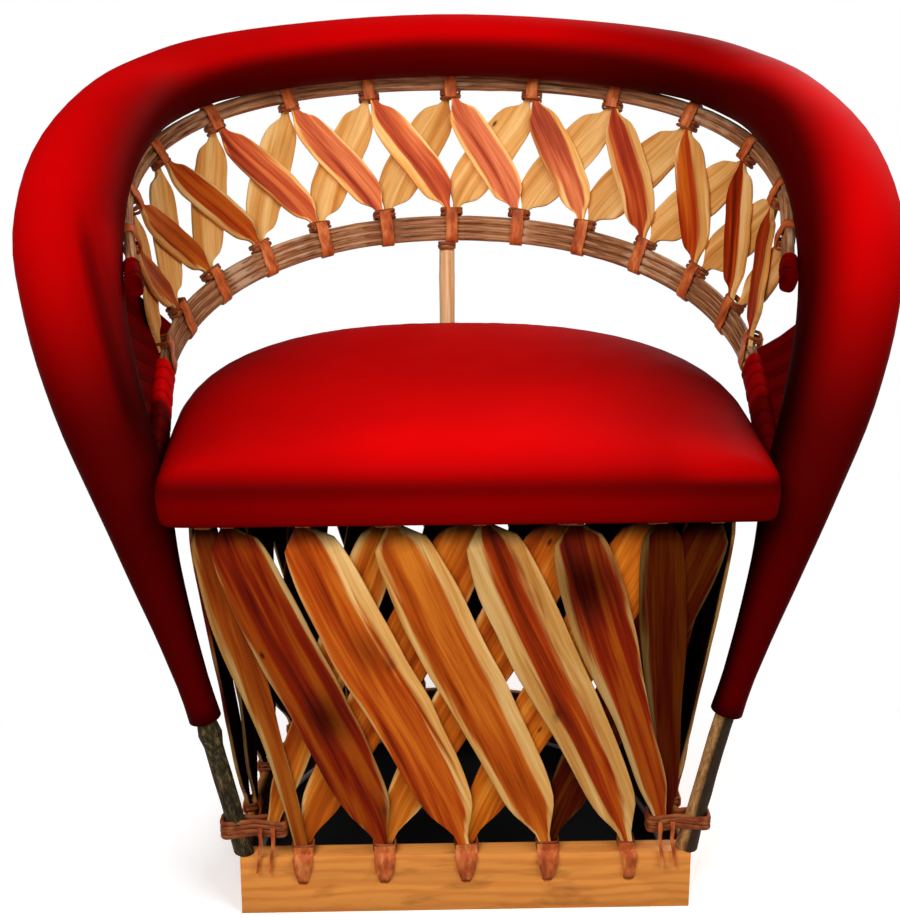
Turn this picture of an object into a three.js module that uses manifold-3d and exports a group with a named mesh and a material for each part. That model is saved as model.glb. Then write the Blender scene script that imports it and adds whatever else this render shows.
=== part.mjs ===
import * as THREE from 'three';
import { mergeVertices } from 'three/addons/utils/BufferGeometryUtils.js';
import Module from 'manifold-3d';

// Equipale chair: a drum of crossed cedar splints under a padded seat, and a bent
// pole whose padded roll makes the arms and the back, with a second splint lattice
// tied between two sapling hoops. Millimetres, +Z up, the sitter faces -Y. Places
// are measured from the floor, the middle of the chair and the base board's face.

const wasm = await Module();
wasm.setup();

// Gaps between pieces
const fit = 0.35;
const bentFit = 0.85;
const hoopFit = 1.1;
const rest = 0.3;
const seatRest = 0.6;
const sink = 0.6;
const strapRoom = 1.6;
const footIn = 0.93;
const footOut = 1.9;

// Base: a plank in front and a bent band behind it
const boardLength = 403;
const boardHeight = 57;
const boardThickness = 20;
const boardHoleDrop = 24;
const boardHoleRadius = 4.6;
const bandHeight = 50;
const bandThickness = 9;
const bandHoleDrop = 20;
const baseSideY = 60;
const baseBackY = 345;
const baseFullness = 2.4;

// Seat: sapling ring, board and padded cover with its hanging skirt
const seatHalfWidth = 250;
const seatOverhang = 56;
const seatSideY = 85;
const seatBackY = 400;
const seatFullness = 2.4;
const seatCornerRadius = 14;
const skirtHeight = 396;
const skirtDrop = 42;
const skirtThickness = 9;
const skirtTuck = 5;
const seatCrown = 12;
// Each row: how far the skirt is drawn in as a share of its tuck, and up its drop
const skirtShares = [
  [1, 0],
  [0.3, 0.25],
  [0, 0.55],
  [0.4, 0.8],
  [1.4, 0.95],
  [3.2, 1.034],
];
// Each row: the way in to the middle of the seat, and up the crown, as shares
const crownShares = [
  [0.145, 0.4],
  [0.337, 0.75],
  [0.627, 0.95],
  [0.935, 1],
];
const seatBoardThickness = 10;
const seatBoardRise = 20;
const ringRadius = 7;

// Rim: the bent pole, its padding and the places that it passes through
const poleRadius = 9;
const footInset = 3;
const rimSpread = 1.376;
const rimBackY = 480;
const rimBackHeight = 708;
const padHalfWidth = 48;
const padOutlineY = 120;
// Each row: across, back and up as shares of the rim, then the padding's half width
// and half height as shares of its widest. The first row follows the bare foot.
const rimShares = [
  [0.628, 0.004, 0.212, 0.270, 0.270],
  [0.658, -0.003, 0.279, 0.270, 0.270],
  [0.715, -0.010, 0.388, 0.345, 0.345],
  [0.767, -0.006, 0.481, 0.480, 0.480],
  [0.811, 0.008, 0.566, 0.650, 0.640],
  [0.890, 0.073, 0.665, 0.790, 0.730],
  [0.962, 0.198, 0.757, 0.900, 0.730],
  [1.000, 0.344, 0.835, 1.000, 0.720],
  [0.988, 0.521, 0.900, 0.980, 0.700],
  [0.913, 0.698, 0.944, 0.900, 0.660],
  [0.825, 0.810, 0.962, 0.840, 0.630],
  [0.692, 0.892, 0.978, 0.790, 0.600],
  [0.378, 0.971, 0.993, 0.750, 0.585],
  [0, 1, 1, 0.750, 0.583],
];
const bareRows = 2;

// Back lattice: two bundles of saplings and the splints tied between them
const strandRadius = 4.5;
const strandGap = 0.45;
const upperStrands = 2;
const lowerStrands = 3;
const upperInset = 40;
const upperFrontGap = 13.5;
const upperFrontY = 115;
const upperSideY = 260;
const upperBackY = 485;
const upperBackDrop = 12.9;
const upperFallShare = 0.162;
const upperFullness = 2.35;
const upperPitch = 85;
const lowerSideGap = 19;
const lowerFrontGap = 12;
const lowerFrontY = 40;
const lowerSideY = 190;
const lowerBackY = 430;
const latticeHeight = 180;
const lowerFallShare = 0.1763;
const lowerFullness = 2.1;
const lowerPitch = 67;
const backTies = 13;
const backSplintHalfWidth = 19;

// Front of the base: splints between the plank and the seat ring
const frontLowerShare = 0.1811;
const frontUpperShare = 0.3;
const frontShiftShare = 0.036;
const frontSplintHalfWidth = 28.5;
const cornerShare = 2.45;
const cornerLashHeight = 86;
const lashingHeight = 14;
const lashingRoom = 3;
const lashingStep = 1;
// Each row: lower tie, upper tie, half width as a share, lower belly as a share
const outerSplintShares = [
  [-1, -2.8, 0.92, 0.95],
  [0, -2, 1, 0.95],
  [1, -1, 1, 0.9],
  [2, 0, 1, 0.85],
  [cornerShare, 1, 0.92, 0.6],
];
const innerSplintShares = [
  [-cornerShare, -1, 0.70, 0.7],
  [-2, 0, 0.95, 0.8],
  [-1, 1, 0.95, 0.8],
  [0, 2, 0.95, 0.8],
  [1, 2.65, 0.85, 0.9],
];
// One thinner splint stands between the two layers at the right corner
const middleSplintShares = [cornerShare, 2, 0.7, 0.7];

// Sides and rear of the base: pairs of splints that share their lower tie
const rearPairs = 10;
const rearLean = 1;
const rearEndShare = 0.25;
const rearSplintHalfWidth = 29;

// Splints and rawhide ties
const splintThickness = 4;
const middleThickness = 2;
const layerGap = 3;
const bevelShare = 0.86;
const neckHalfWidth = 6;
const backNeckHalfWidth = 4.5;
const strapThickness = 2.5;
const strapWidth = 11;
const boardStrapWidth = 7;
const collarHeight = 8;
const shoulderShare = 0.8;
const baseBellyShares = [0.11, 0.34, 0.68, 0.945];
const backBellyShares = [0.13, 0.35, 0.65, 0.87];
const baseNeckShare = 1.2;
const footNeckShare = 2;
const backNeckShare = 1.5;
const baseEaseShare = 0.35;
const backEaseShare = 0.8;

// Back strut
const strutRadius = 8;
const strutOffset = -5;

// Smoothness of round shapes
const poleSides = 6;
const padSides = 2 * poleSides;
const strandSides = 6;
const strandSteps = 34;
const rimStepsPerRow = 2;
const bowSteps = 24;
const ringSides = 8;
const slopeStep = 0.02;

const baseHalfWidth = (boardLength - bandThickness) / 2;
const frontLowerPitch = boardLength * frontLowerShare;
const frontUpperPitch = seatHalfWidth * frontUpperShare;
const frontUpperShift = seatHalfWidth * frontShiftShare;
const rimHalfWidth = seatHalfWidth * rimSpread;
const upperHalfWidth = rimHalfWidth - upperInset;
const lowerHalfWidth = seatHalfWidth + lowerSideGap;
const lowerFrontHalfWidth = seatHalfWidth + lowerFrontGap;
const lowerBackHeight = rimBackHeight - latticeHeight;
const upperBackHeight = rimBackHeight - padHalfWidth * rimShares.at(-1).at(-1) - upperBackDrop;
const upperFrontHalfWidth = rimHalfWidth - padHalfWidth - upperFrontGap;
const layerOffset = (splintThickness + layerGap) / 2;
const tipFace = layerOffset + splintThickness / 2;
const ringInset = skirtThickness + strapThickness + bentFit + strapRoom + ringRadius;
const ringHeight = skirtHeight + seatBoardRise - rest - strapThickness - bentFit - seatRest - ringRadius;
const flatShare = Math.cos(Math.PI / strandSides);
const strandFlat = strandRadius * flatShare;
const strandStep = 2 * strandFlat + strandGap;

// Turns points and faces into one closed body whose faces point out
function body(points, faces) {
  let volume = 0;
  for (const [a, b, c] of faces) {
    volume += points[a].dot(points[b].clone().cross(points[c]));
  }
  const geometry = new THREE.BufferGeometry();
  const index = faces.flatMap(([a, b, c]) => (volume < 0 ? [a, c, b] : [a, b, c]));
  geometry.setAttribute('position', new THREE.Float32BufferAttribute(points.flatMap((p) => p.toArray()), 3));
  geometry.setIndex(index);
  return geometry;
}

// Skins equal rings of points, and closes the ends unless the rings run in a loop
function loft(rings, closed = false) {
  const sides = rings[0].length;
  const faces = [];
  const spans = closed ? rings.length : rings.length - 1;
  for (let ring = 0; ring < spans; ring += 1) {
    const here = ring * sides;
    const there = ((ring + 1) % rings.length) * sides;
    for (let side = 0; side < sides; side += 1) {
      const next = (side + 1) % sides;
      faces.push([here + side, here + next, there + next]);
      faces.push([here + side, there + next, there + side]);
    }
  }
  if (!closed) {
    const last = (rings.length - 1) * sides;
    for (let side = 1; side < sides - 1; side += 1) {
      faces.push([0, side + 1, side]);
      faces.push([last, last + side, last + side + 1]);
    }
  }
  return body(rings.flat(), faces);
}

// Gives a flat outline, pushed along one axis of a frame, as a closed body
function prism(outline, holes, frame, axes, from, to) {
  const shape = new THREE.Shape(outline.map(([x, y]) => new THREE.Vector2(x, y)));
  for (const hole of holes) {
    shape.holes.push(new THREE.Path(hole.map(([x, y]) => new THREE.Vector2(x, y))));
  }
  const geometry = new THREE.ExtrudeGeometry(shape, { depth: to - from, bevelEnabled: false });
  geometry.translate(0, 0, from);
  const [first, second, third] = axes.map((axis) => frame[axis]);
  const basis = new THREE.Matrix4().makeBasis(first, second, third).setPosition(frame.at);
  geometry.applyMatrix4(basis);
  const flipped = basis.determinant() < 0;
  return flipped ? turnedOut(geometry) : geometry;
}

function turnedOut(geometry) {
  const position = geometry.getAttribute('position');
  for (let corner = 0; corner < position.count; corner += 3) {
    const kept = new THREE.Vector3().fromBufferAttribute(position, corner + 1);
    const other = new THREE.Vector3().fromBufferAttribute(position, corner + 2);
    position.setXYZ(corner + 1, other.x, other.y, other.z);
    position.setXYZ(corner + 2, kept.x, kept.y, kept.z);
  }
  return geometry;
}

function toSolid(geometry) {
  const bare = geometry.clone();
  bare.deleteAttribute('normal');
  bare.deleteAttribute('uv');
  const merged = mergeVertices(bare);
  return new wasm.Manifold(new wasm.Mesh({
    numProp: 3,
    vertProperties: new Float32Array(merged.getAttribute('position').array),
    triVerts: new Uint32Array(merged.getIndex().array),
  }));
}

function toGeometry(solid) {
  const mesh = solid.getMesh();
  const geometry = new THREE.BufferGeometry();
  const points = [];
  for (let vertex = 0; vertex < mesh.numVert; vertex += 1) {
    const start = vertex * mesh.numProp;
    points.push(...mesh.vertProperties.slice(start, start + 3));
  }
  geometry.setAttribute('position', new THREE.Float32BufferAttribute(points, 3));
  geometry.setIndex(Array.from(mesh.triVerts));
  return geometry;
}

function joined(geometries) {
  return toGeometry(geometries.map(toSolid).reduce((sum, next) => sum.add(next)));
}

function drilled(geometry, cutters) {
  const whole = toSolid(geometry);
  return toGeometry(cutters.map(toSolid).reduce((solid, cutter) => solid.subtract(cutter), whole));
}

// A point on a curve at a share of its length, carried straight on past its ends
function along(curve, share) {
  const held = THREE.MathUtils.clamp(share, 0, 1);
  const point = curve.getPointAt(held);
  return point.addScaledVector(curve.getTangentAt(held), (share - held) * curve.getLength());
}

// Half of a rounded-square oval: its quarter points from one side round the back
function bow(halfWidth, sideY, backY, fullness) {
  const points = [];
  for (let step = 1; step < bowSteps; step += 1) {
    const angle = Math.PI - (Math.PI * step) / bowSteps;
    const x = Math.sign(Math.cos(angle)) * Math.abs(Math.cos(angle)) ** (2 / fullness);
    points.push([halfWidth * x, sideY + (backY - sideY) * Math.sin(angle) ** (2 / fullness)]);
  }
  return points;
}

// A horseshoe open to the front, from its left end round the back to its right end
function horseshoe({ frontHalfWidth, frontY, halfWidth, sideY, backY, fullness, height }) {
  const left = [[-frontHalfWidth, frontY], [-halfWidth, sideY]];
  const right = [[halfWidth, sideY], [frontHalfWidth, frontY]];
  const plan = [...left, ...bow(halfWidth, sideY, backY, fullness), ...right];
  return new THREE.CatmullRomCurve3(plan.map(([x, y]) => new THREE.Vector3(x, y, height(y))));
}

// The closed D of the seat, drawn in by an inset, from its left front corner
function seatOutline(inset) {
  const half = seatHalfWidth - inset;
  const frontY = inset - seatOverhang;
  const radius = Math.max(seatCornerRadius - inset, rest);
  const diagonal = radius * (1 - Math.SQRT1_2);
  const corner = [[half, frontY + radius], [half - diagonal, frontY + diagonal], [half - radius, frontY]];
  const mirrored = corner.map(([x, y]) => [-x, y]).reverse();
  const rear = bow(half, seatSideY, seatBackY - inset, seatFullness);
  return [...mirrored, [-half, seatSideY], ...rear, [half, seatSideY], ...corner];
}

function tube(radius, sides, steps, middle) {
  const rings = [];
  for (let step = 0; step <= steps; step += 1) {
    const share = step / steps;
    const { at, n, d } = middle(share);
    rings.push(circle(at, n, d, radius, sides));
  }
  return loft(rings);
}

function circle(at, first, second, radius, sides, radius2 = radius) {
  const ring = [];
  for (let side = 0; side < sides; side += 1) {
    const angle = (2 * Math.PI * side) / sides;
    const across = first.clone().multiplyScalar(radius * Math.cos(angle));
    ring.push(across.addScaledVector(second, radius2 * Math.sin(angle)).add(at));
  }
  return ring;
}

// A lattice wall is ruled between a lower and an upper bar, both counted in ties
function wall(lower, upper, facing = 1) {
  const point = (tie, rise) => lower(tie).lerp(upper(tie), rise);
  const slopes = (tie, rise) => {
    const span = 2 * slopeStep;
    const sideways = point(tie + slopeStep, rise).sub(point(tie - slopeStep, rise)).divideScalar(span);
    const upward = point(tie, rise + slopeStep).sub(point(tie, rise - slopeStep)).divideScalar(span);
    const outward = upward.clone().cross(sideways).normalize().multiplyScalar(facing);
    return { sideways, upward, outward };
  };
  return { lower, upper, point, slopes };
}

// The frame of a tie: t along the bar, d towards the splints, n out of the chair
function tieFrame(lattice, tie, top) {
  const { sideways, upward, outward } = lattice.slopes(tie, top ? 1 : 0);
  const t = sideways.normalize();
  const d = upward.addScaledVector(t, -upward.dot(t)).normalize().multiplyScalar(top ? -1 : 1);
  return { at: top ? lattice.upper(tie) : lattice.lower(tie), t, d, n: outward };
}

function eased(share, ease) {
  const smooth = share * share * (3 - 2 * share);
  return THREE.MathUtils.lerp(share, smooth, ease);
}

// Where the middle of a splint lies at a rise up the wall
function splintTie(splint, rise) {
  return THREE.MathUtils.lerp(splint.lowerTie, splint.upperTie, eased(rise, splint.ease));
}

// How far the wall rises square to its bar at a tie
function wallHeight(lattice, tie, top) {
  const { upward } = lattice.slopes(tie, top ? 1 : 0);
  return Math.abs(upward.dot(tieFrame(lattice, tie, top).d));
}

// A tip of a splint: flat, straight and cut along its bar
function splintTip(lattice, splint, top) {
  const tie = top ? splint.upperTie : splint.lowerTie;
  const frame = tieFrame(lattice, tie, top);
  const height = wallHeight(lattice, tie, top);
  const [start, neck] = top ? [splint.upperStart, splint.upperNeck] : [splint.lowerStart, splint.lowerNeck];
  const shift = (reach) => {
    const rise = top ? 1 - reach / height : reach / height;
    return lattice.point(splintTie(splint, rise), rise).sub(frame.at).dot(frame.t);
  };
  const [from, to] = [shift(start), shift(neck)];
  const shiftAt = (reach) => THREE.MathUtils.mapLinear(reach, start, neck, from, to);
  return { frame, start, neck, neckRise: top ? 1 - neck / height : neck / height, shiftAt };
}

function tipRing(splint, tip, reach, top) {
  const { frame } = tip;
  const offset = top ? splint.upperOffset : splint.lowerOffset;
  const face = (splint.thickness / 2) * splint.faceSide;
  const corner = (half, lift) => (
    frame.at.clone()
      .addScaledVector(frame.t, tip.shiftAt(reach) + half)
      .addScaledVector(frame.n, offset + lift)
      .addScaledVector(frame.d, reach)
  );
  const half = splint.neckHalfWidth;
  return [
    corner(-half, -face),
    corner(half, -face),
    corner(half * bevelShare, face),
    corner(-half * bevelShare, face),
  ];
}

// A cleft splint: a leaf with drawn-in necks, laid on one layer of its wall
function splintBody(lattice, splint) {
  const lower = splintTip(lattice, splint, false);
  const upper = splintTip(lattice, splint, true);
  const bellies = splint.bellies.map((share) => THREE.MathUtils.lerp(lower.neckRise, upper.neckRise, share));
  const lowerBelly = splint.halfWidth * splint.belly;
  const halfWidths = [
    lowerBelly * shoulderShare,
    lowerBelly,
    splint.halfWidth,
    splint.halfWidth * shoulderShare,
  ];
  const rings = bellies.map((rise, station) => {
    const tie = splintTie(splint, rise);
    const { sideways, upward, outward } = lattice.slopes(tie, rise);
    const turn = splintTie(splint, rise + slopeStep) - splintTie(splint, rise - slopeStep);
    const run = upward.clone().addScaledVector(sideways, turn / (2 * slopeStep));
    const across = run.cross(outward).normalize();
    if (across.dot(sideways) < 0) {
      across.negate();
    }
    const offset = THREE.MathUtils.lerp(splint.lowerOffset, splint.upperOffset, rise);
    const [ss, su, uu] = [sideways.dot(sideways), sideways.dot(upward), upward.dot(upward)];
    const [sa, ua] = [sideways.dot(across), upward.dot(across)];
    const whole = ss * uu - su * su;
    const edge = (reach, lift) => {
      const tieStep = (reach * (sa * uu - ua * su)) / whole;
      const riseStep = (reach * (ua * ss - sa * su)) / whole;
      const { outward: normal } = lattice.slopes(tie + tieStep, rise + riseStep);
      return lattice.point(tie + tieStep, rise + riseStep).addScaledVector(normal, offset + lift);
    };
    const half = halfWidths[station];
    const face = (splint.thickness / 2) * splint.faceSide;
    return [
      edge(-half, -face),
      edge(half, -face),
      edge(half * bevelShare, face),
      edge(-half * bevelShare, face),
    ];
  });
  return loft([
    tipRing(splint, lower, lower.start, false),
    tipRing(splint, lower, lower.neck, false),
    ...rings,
    tipRing(splint, upper, upper.neck, true),
    tipRing(splint, upper, upper.start, true),
  ]);
}

// The strap that hangs over a bar: a hairpin seen along the bar
function bail(frame, wallFrame, bar, collar, width) {
  const innerN = bar.halfN + bar.fit;
  const far = bar.far + bar.fit;
  const cut = bar.square ? 0 : innerN / 2;
  const farInner = bar.square ? [[innerN, -far]] : [[innerN, cut - far], [innerN - cut, -far]];
  const outerN = innerN + strapThickness;
  const farOuter = [[outerN, cut - far], [innerN - cut, -far - strapThickness]];
  const mirror = (points) => points.map(([n, d]) => [-n, d]).reverse();
  const footTo = collar.from + strapRoom;
  const foot = (n) => {
    const place = wallFrame.n.clone().multiplyScalar(n).addScaledVector(wallFrame.d, footTo);
    return [place.dot(frame.n), place.dot(frame.d)];
  };
  const inner = [foot(collar.front + footIn), [innerN, 0], ...farInner];
  const innerBack = [...mirror(farInner), [-innerN, 0], foot(collar.back - footIn)];
  const outer = [foot(collar.front + footOut), [outerN, 0], ...farOuter];
  const outerBack = [...mirror(farOuter), [-outerN, 0], foot(collar.back - footOut)];
  const outline = [...outer, ...outerBack, ...[...inner, ...innerBack].reverse()];
  const centre = bar.upright ? 0 : collar.middle / 2;
  const left = centre - width / 2;
  return prism(outline, [], frame, ['n', 'd', 't'], left, left + width);
}

// The winding round the necks of the splints that meet at a tie
function collarBody(frame, collar) {
  const { front, back } = collar;
  const left = collar.middle - collar.halfWidth;
  const right = collar.middle + collar.halfWidth;
  const hole = [[left, back], [right, back], [right, front], [left, front]];
  const outline = [
    [left - strapThickness, back - strapThickness],
    [right + strapThickness, back - strapThickness],
    [right + strapThickness, front + strapThickness],
    [left - strapThickness, front + strapThickness],
  ];
  return prism(outline, [hole], frame, ['t', 'n', 'd'], collar.from, collar.to);
}

// A whole tie at one end of its carrying splint
function tieBodies(lattice, tie, top, bar, carriers, splints, width) {
  const frame = tieFrame(lattice, tie, top);
  const from = bar.near + 2 * fit;
  const to = from + collarHeight;
  const shifts = splints.map((splint) => splintTip(lattice, splint, top).shiftAt(to));
  const leftmost = Math.min(...shifts);
  const rightmost = Math.max(...shifts);
  const neck = splints[0].neckHalfWidth;
  const collar = {
    from,
    to,
    front: carriers === 'inner' ? tipFace + bentFit : tipFace - sink,
    back: carriers === 'outer' ? -tipFace - bentFit : sink - tipFace,
    middle: (leftmost + rightmost) / 2,
    halfWidth: (rightmost - leftmost) / 2 + neck + bentFit,
  };
  const barFrame = bar.upright ? uprightFrame(frame, top) : frame;
  return [bail(barFrame, frame, bar, collar, width), collarBody(frame, collar)];
}

// The same place with d straight up or down, for bars that stand upright
function uprightFrame(frame, top) {
  const d = new THREE.Vector3(0, 0, top ? -1 : 1);
  const n = d.clone().cross(frame.t).normalize();
  if (n.dot(frame.n) < 0) {
    n.negate();
  }
  return { at: frame.at, t: frame.t, d, n };
}

const materials = {
  cloth: new THREE.MeshStandardMaterial({ color: '#c00000', roughness: 0.55, metalness: 0 }),
  cedar: new THREE.MeshStandardMaterial({ color: '#a8481a', roughness: 0.6, metalness: 0 }),
  paleCedar: new THREE.MeshStandardMaterial({ color: '#cf8a45', roughness: 0.6, metalness: 0 }),
  pine: new THREE.MeshStandardMaterial({ color: '#cf9445', roughness: 0.65, metalness: 0 }),
  sapling: new THREE.MeshStandardMaterial({ color: '#8a5a33', roughness: 0.7, metalness: 0 }),
  bark: new THREE.MeshStandardMaterial({ color: '#5b4a2c', roughness: 0.8, metalness: 0 }),
  rawhide: new THREE.MeshStandardMaterial({ color: '#b8683a', roughness: 0.7, metalness: 0 }),
  seatBoard: new THREE.MeshStandardMaterial({ color: '#a07a4a', roughness: 0.8, metalness: 0 }),
};

const chair = new THREE.Group();

function add(name, geometry, material) {
  const mesh = new THREE.Mesh(geometry, materials[material]);
  mesh.name = name;
  chair.add(mesh);
}

// Walls of the base
const frontLower = (tie) => new THREE.Vector3(frontLowerPitch * tie, boardThickness / 2, boardHeight);
const ringFrontY = ringInset - seatOverhang;
const frontUpper = (tie) => (
  new THREE.Vector3(frontUpperPitch * tie + frontUpperShift, ringFrontY, ringHeight)
);
const frontWall = wall(frontLower, frontUpper, -1);

const bandFrontY = boardThickness + rest;
const bandCurve = horseshoe({
  frontHalfWidth: baseHalfWidth,
  frontY: bandFrontY,
  halfWidth: baseHalfWidth,
  sideY: baseSideY,
  backY: baseBackY,
  fullness: baseFullness,
  height: () => bandHeight,
});
const ringHalfWidth = seatHalfWidth - ringInset;
const ringRearCurve = horseshoe({
  frontHalfWidth: ringHalfWidth,
  frontY: ringFrontY + seatCornerRadius,
  halfWidth: ringHalfWidth,
  sideY: seatSideY,
  backY: seatBackY - ringInset,
  fullness: seatFullness,
  height: () => ringHeight,
});
const rearSpan = rearPairs + 1;
const rearWall = wall(
  (tie) => along(bandCurve, 1 / 2 + tie / rearSpan),
  (tie) => along(ringRearCurve, 1 / 2 + tie / rearSpan),
);

// Wall of the back
const falling = (height, fallShare, backY, frontY) => (y) => (
  height - (rimBackHeight * fallShare * (backY - y)) / (backY - frontY)
);
const upperCurve = horseshoe({
  frontHalfWidth: upperFrontHalfWidth,
  frontY: upperFrontY,
  halfWidth: upperHalfWidth,
  sideY: upperSideY,
  backY: upperBackY,
  fullness: upperFullness,
  height: falling(upperBackHeight, upperFallShare, upperBackY, upperFrontY),
});
const lowerCurve = horseshoe({
  frontHalfWidth: lowerFrontHalfWidth,
  frontY: lowerFrontY,
  halfWidth: lowerHalfWidth,
  sideY: lowerSideY,
  backY: lowerBackY,
  fullness: lowerFullness,
  height: falling(lowerBackHeight, lowerFallShare, lowerBackY, lowerFrontY),
});
const lowerLength = lowerCurve.getLength();
const upperLength = upperCurve.getLength();
const backWall = wall(
  (tie) => along(lowerCurve, 1 / 2 + (tie * lowerPitch) / lowerLength),
  (tie) => along(upperCurve, 1 / 2 + (tie * upperPitch) / upperLength),
);

// What each tie goes round: half thickness, reach towards and away from the splints
const boardBar = {
  halfN: boardThickness / 2,
  near: strapRoom,
  far: boardHoleDrop,
  fit,
  square: true,
  upright: true,
};
const bandBar = {
  halfN: bandThickness / 2,
  near: strapRoom,
  far: bandHoleDrop,
  fit: bentFit,
  square: true,
  upright: true,
};
const ringBar = { halfN: ringRadius, near: ringRadius + fit, far: ringRadius, fit: bentFit };
const bundle = (strands) => {
  const reach = strandFlat + ((strands - 1) * strandStep) / 2;
  return { halfN: strandRadius, near: reach + fit, far: reach, fit: hoopFit, square: true };
};
const upperBar = bundle(upperStrands);
const lowerBar = bundle(lowerStrands);

function makeSplint(ties, halfWidth, out, options) {
  const offset = out ? layerOffset : -layerOffset;
  return {
    lowerTie: ties[0],
    upperTie: ties[1],
    halfWidth,
    belly: 1,
    lowerOffset: offset,
    upperOffset: offset,
    thickness: splintThickness,
    ...options,
  };
}

const baseEnds = {
  neckHalfWidth,
  ease: baseEaseShare,
  lowerStart: strapRoom,
  lowerNeck: strapRoom + footNeckShare * collarHeight,
  upperStart: ringBar.near + fit,
  upperNeck: ringBar.near + 2 * fit + baseNeckShare * collarHeight,
  faceSide: 1,
  bellies: baseBellyShares,
};
const cornerStart = cornerLashHeight - boardHeight - lashingHeight / 2;
const cornerNeck = cornerStart + footNeckShare * collarHeight;
const cornerEnds = { ...baseEnds, lowerStart: cornerStart, lowerNeck: cornerNeck };
const backEnds = {
  neckHalfWidth: backNeckHalfWidth,
  ease: backEaseShare,
  lowerStart: lowerBar.near + fit,
  lowerNeck: lowerBar.near + backNeckShare * collarHeight,
  upperStart: upperBar.near + fit,
  upperNeck: upperBar.near + backNeckShare * collarHeight,
  faceSide: -1,
  bellies: backBellyShares,
};

// Rim: a station is a place on the pole with its outward and upward directions
const rimRows = rimShares.map(([across, back, up, wide, high]) => ({
  at: new THREE.Vector3(rimHalfWidth * across, rimBackY * back, rimBackHeight * up),
  pad: new THREE.Vector3(padHalfWidth * wide, padHalfWidth * high, 0),
}));
const foot = {
  at: new THREE.Vector3(boardLength / 2 - footInset, boardThickness / 2, boardHeight + rest),
  pad: rimRows[0].pad,
};
const rightRows = [foot, ...rimRows];
const mirrorRow = ({ at, pad }) => ({ at: new THREE.Vector3(-at.x, at.y, at.z), pad });
const allRows = [...rightRows.map(mirrorRow), ...rightRows.slice(0, -1).reverse()];
const rimCurve = new THREE.CatmullRomCurve3(allRows.map(({ at }) => at));
const padCurve = new THREE.CatmullRomCurve3(allRows.map(({ pad }) => pad));
const rimSpans = allRows.length - 1;

function rimStation(row) {
  const share = row / rimSpans;
  const at = rimCurve.getPoint(share);
  const standing = row === 0 || row === rimSpans;
  const tangent = standing ? new THREE.Vector3(0, 0, row ? -1 : 1) : rimCurve.getTangent(share);
  const outline = new THREE.Vector3(at.x, at.y - padOutlineY, 0);
  const out = outline.addScaledVector(tangent, -outline.dot(tangent)).normalize();
  const up = tangent.clone().cross(out).normalize();
  const pad = padCurve.getPoint(share);
  return { at, tangent, out, up, wide: pad.x, high: pad.y };
}

function rimStations(first, last) {
  const stations = [];
  const steps = (last - first) * rimStepsPerRow;
  for (let step = 0; step <= steps; step += 1) {
    stations.push(rimStation(first + step / rimStepsPerRow));
  }
  return stations;
}

const poleStations = rimStations(0, rimSpans);
const poleRings = poleStations.map(({ at, out, up }) => circle(at, out, up, poleRadius, poleSides));
add('rim_pole', loft(poleRings), 'bark');

// Padding: an outer skin and the bore that the pole fills, joined by end walls
function padBody() {
  const stations = rimStations(bareRows, rimSpans - bareRows);
  const boreRadius = poleRadius + rest;
  const outer = stations.map(({ at, out, up, wide, high }) => circle(at, out, up, wide, padSides, high));
  const bore = stations.map(({ at, out, up }) => circle(at, out, up, boreRadius, poleSides));
  const points = [...outer.flat(), ...bore.flat()];
  const boreStart = outer.length * padSides;
  const faces = [];
  const skin = (start, sides, inward) => {
    for (let ring = 0; ring < stations.length - 1; ring += 1) {
      for (let side = 0; side < sides; side += 1) {
        const next = (side + 1) % sides;
        const here = start + ring * sides;
        const there = here + sides;
        const quad = [[here + side, here + next, there + next], [here + side, there + next, there + side]];
        faces.push(...quad.map(([a, b, c]) => (inward ? [a, c, b] : [a, b, c])));
      }
    }
  };
  skin(0, padSides, false);
  skin(boreStart, poleSides, true);
  for (const last of [false, true]) {
    const outerStart = last ? (stations.length - 1) * padSides : 0;
    const innerStart = boreStart + (last ? (stations.length - 1) * poleSides : 0);
    for (let side = 0; side < poleSides; side += 1) {
      const inner = innerStart + side;
      const nextInner = innerStart + ((side + 1) % poleSides);
      const first = outerStart + 2 * side;
      const middle = first + 1;
      const second = outerStart + ((2 * side + 2) % padSides);
      const fan = [[inner, middle, first], [inner, nextInner, middle], [nextInner, second, middle]];
      faces.push(...fan.map(([a, b, c]) => (last ? [a, c, b] : [a, b, c])));
    }
  }
  return body(points, faces);
}
add('arm_roll', padBody(), 'cloth');

// Base plank with a hole for each tie
const boardFrame = {
  at: new THREE.Vector3(0, 0, 0),
  t: new THREE.Vector3(1, 0, 0),
  n: new THREE.Vector3(0, 1, 0),
  d: new THREE.Vector3(0, 0, 1),
};
const boardOutline = [
  [-boardLength / 2, 0],
  [boardLength / 2, 0],
  [boardLength / 2, boardHeight],
  [-boardLength / 2, boardHeight],
];
const frontTies = [-2, -1, 0, 1, 2];
const holeDrop = boardHoleDrop + boardBar.fit + strapThickness / 2;

function polygon(x, y, radius, sides) {
  const corners = [];
  for (let side = 0; side < sides; side += 1) {
    const angle = (2 * Math.PI * (side + 1 / 2)) / sides;
    corners.push([x + radius * Math.cos(angle), y + radius * Math.sin(angle)]);
  }
  return corners;
}
const boardHoles = frontTies.map((tie) => (
  polygon(frontLowerPitch * tie, boardHeight - holeDrop, boardHoleRadius, ringSides).reverse()
));
const board = prism(boardOutline, boardHoles, boardFrame, ['t', 'd', 'n'], 0, boardThickness);
add('base_front_board', board, 'pine');

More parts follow.
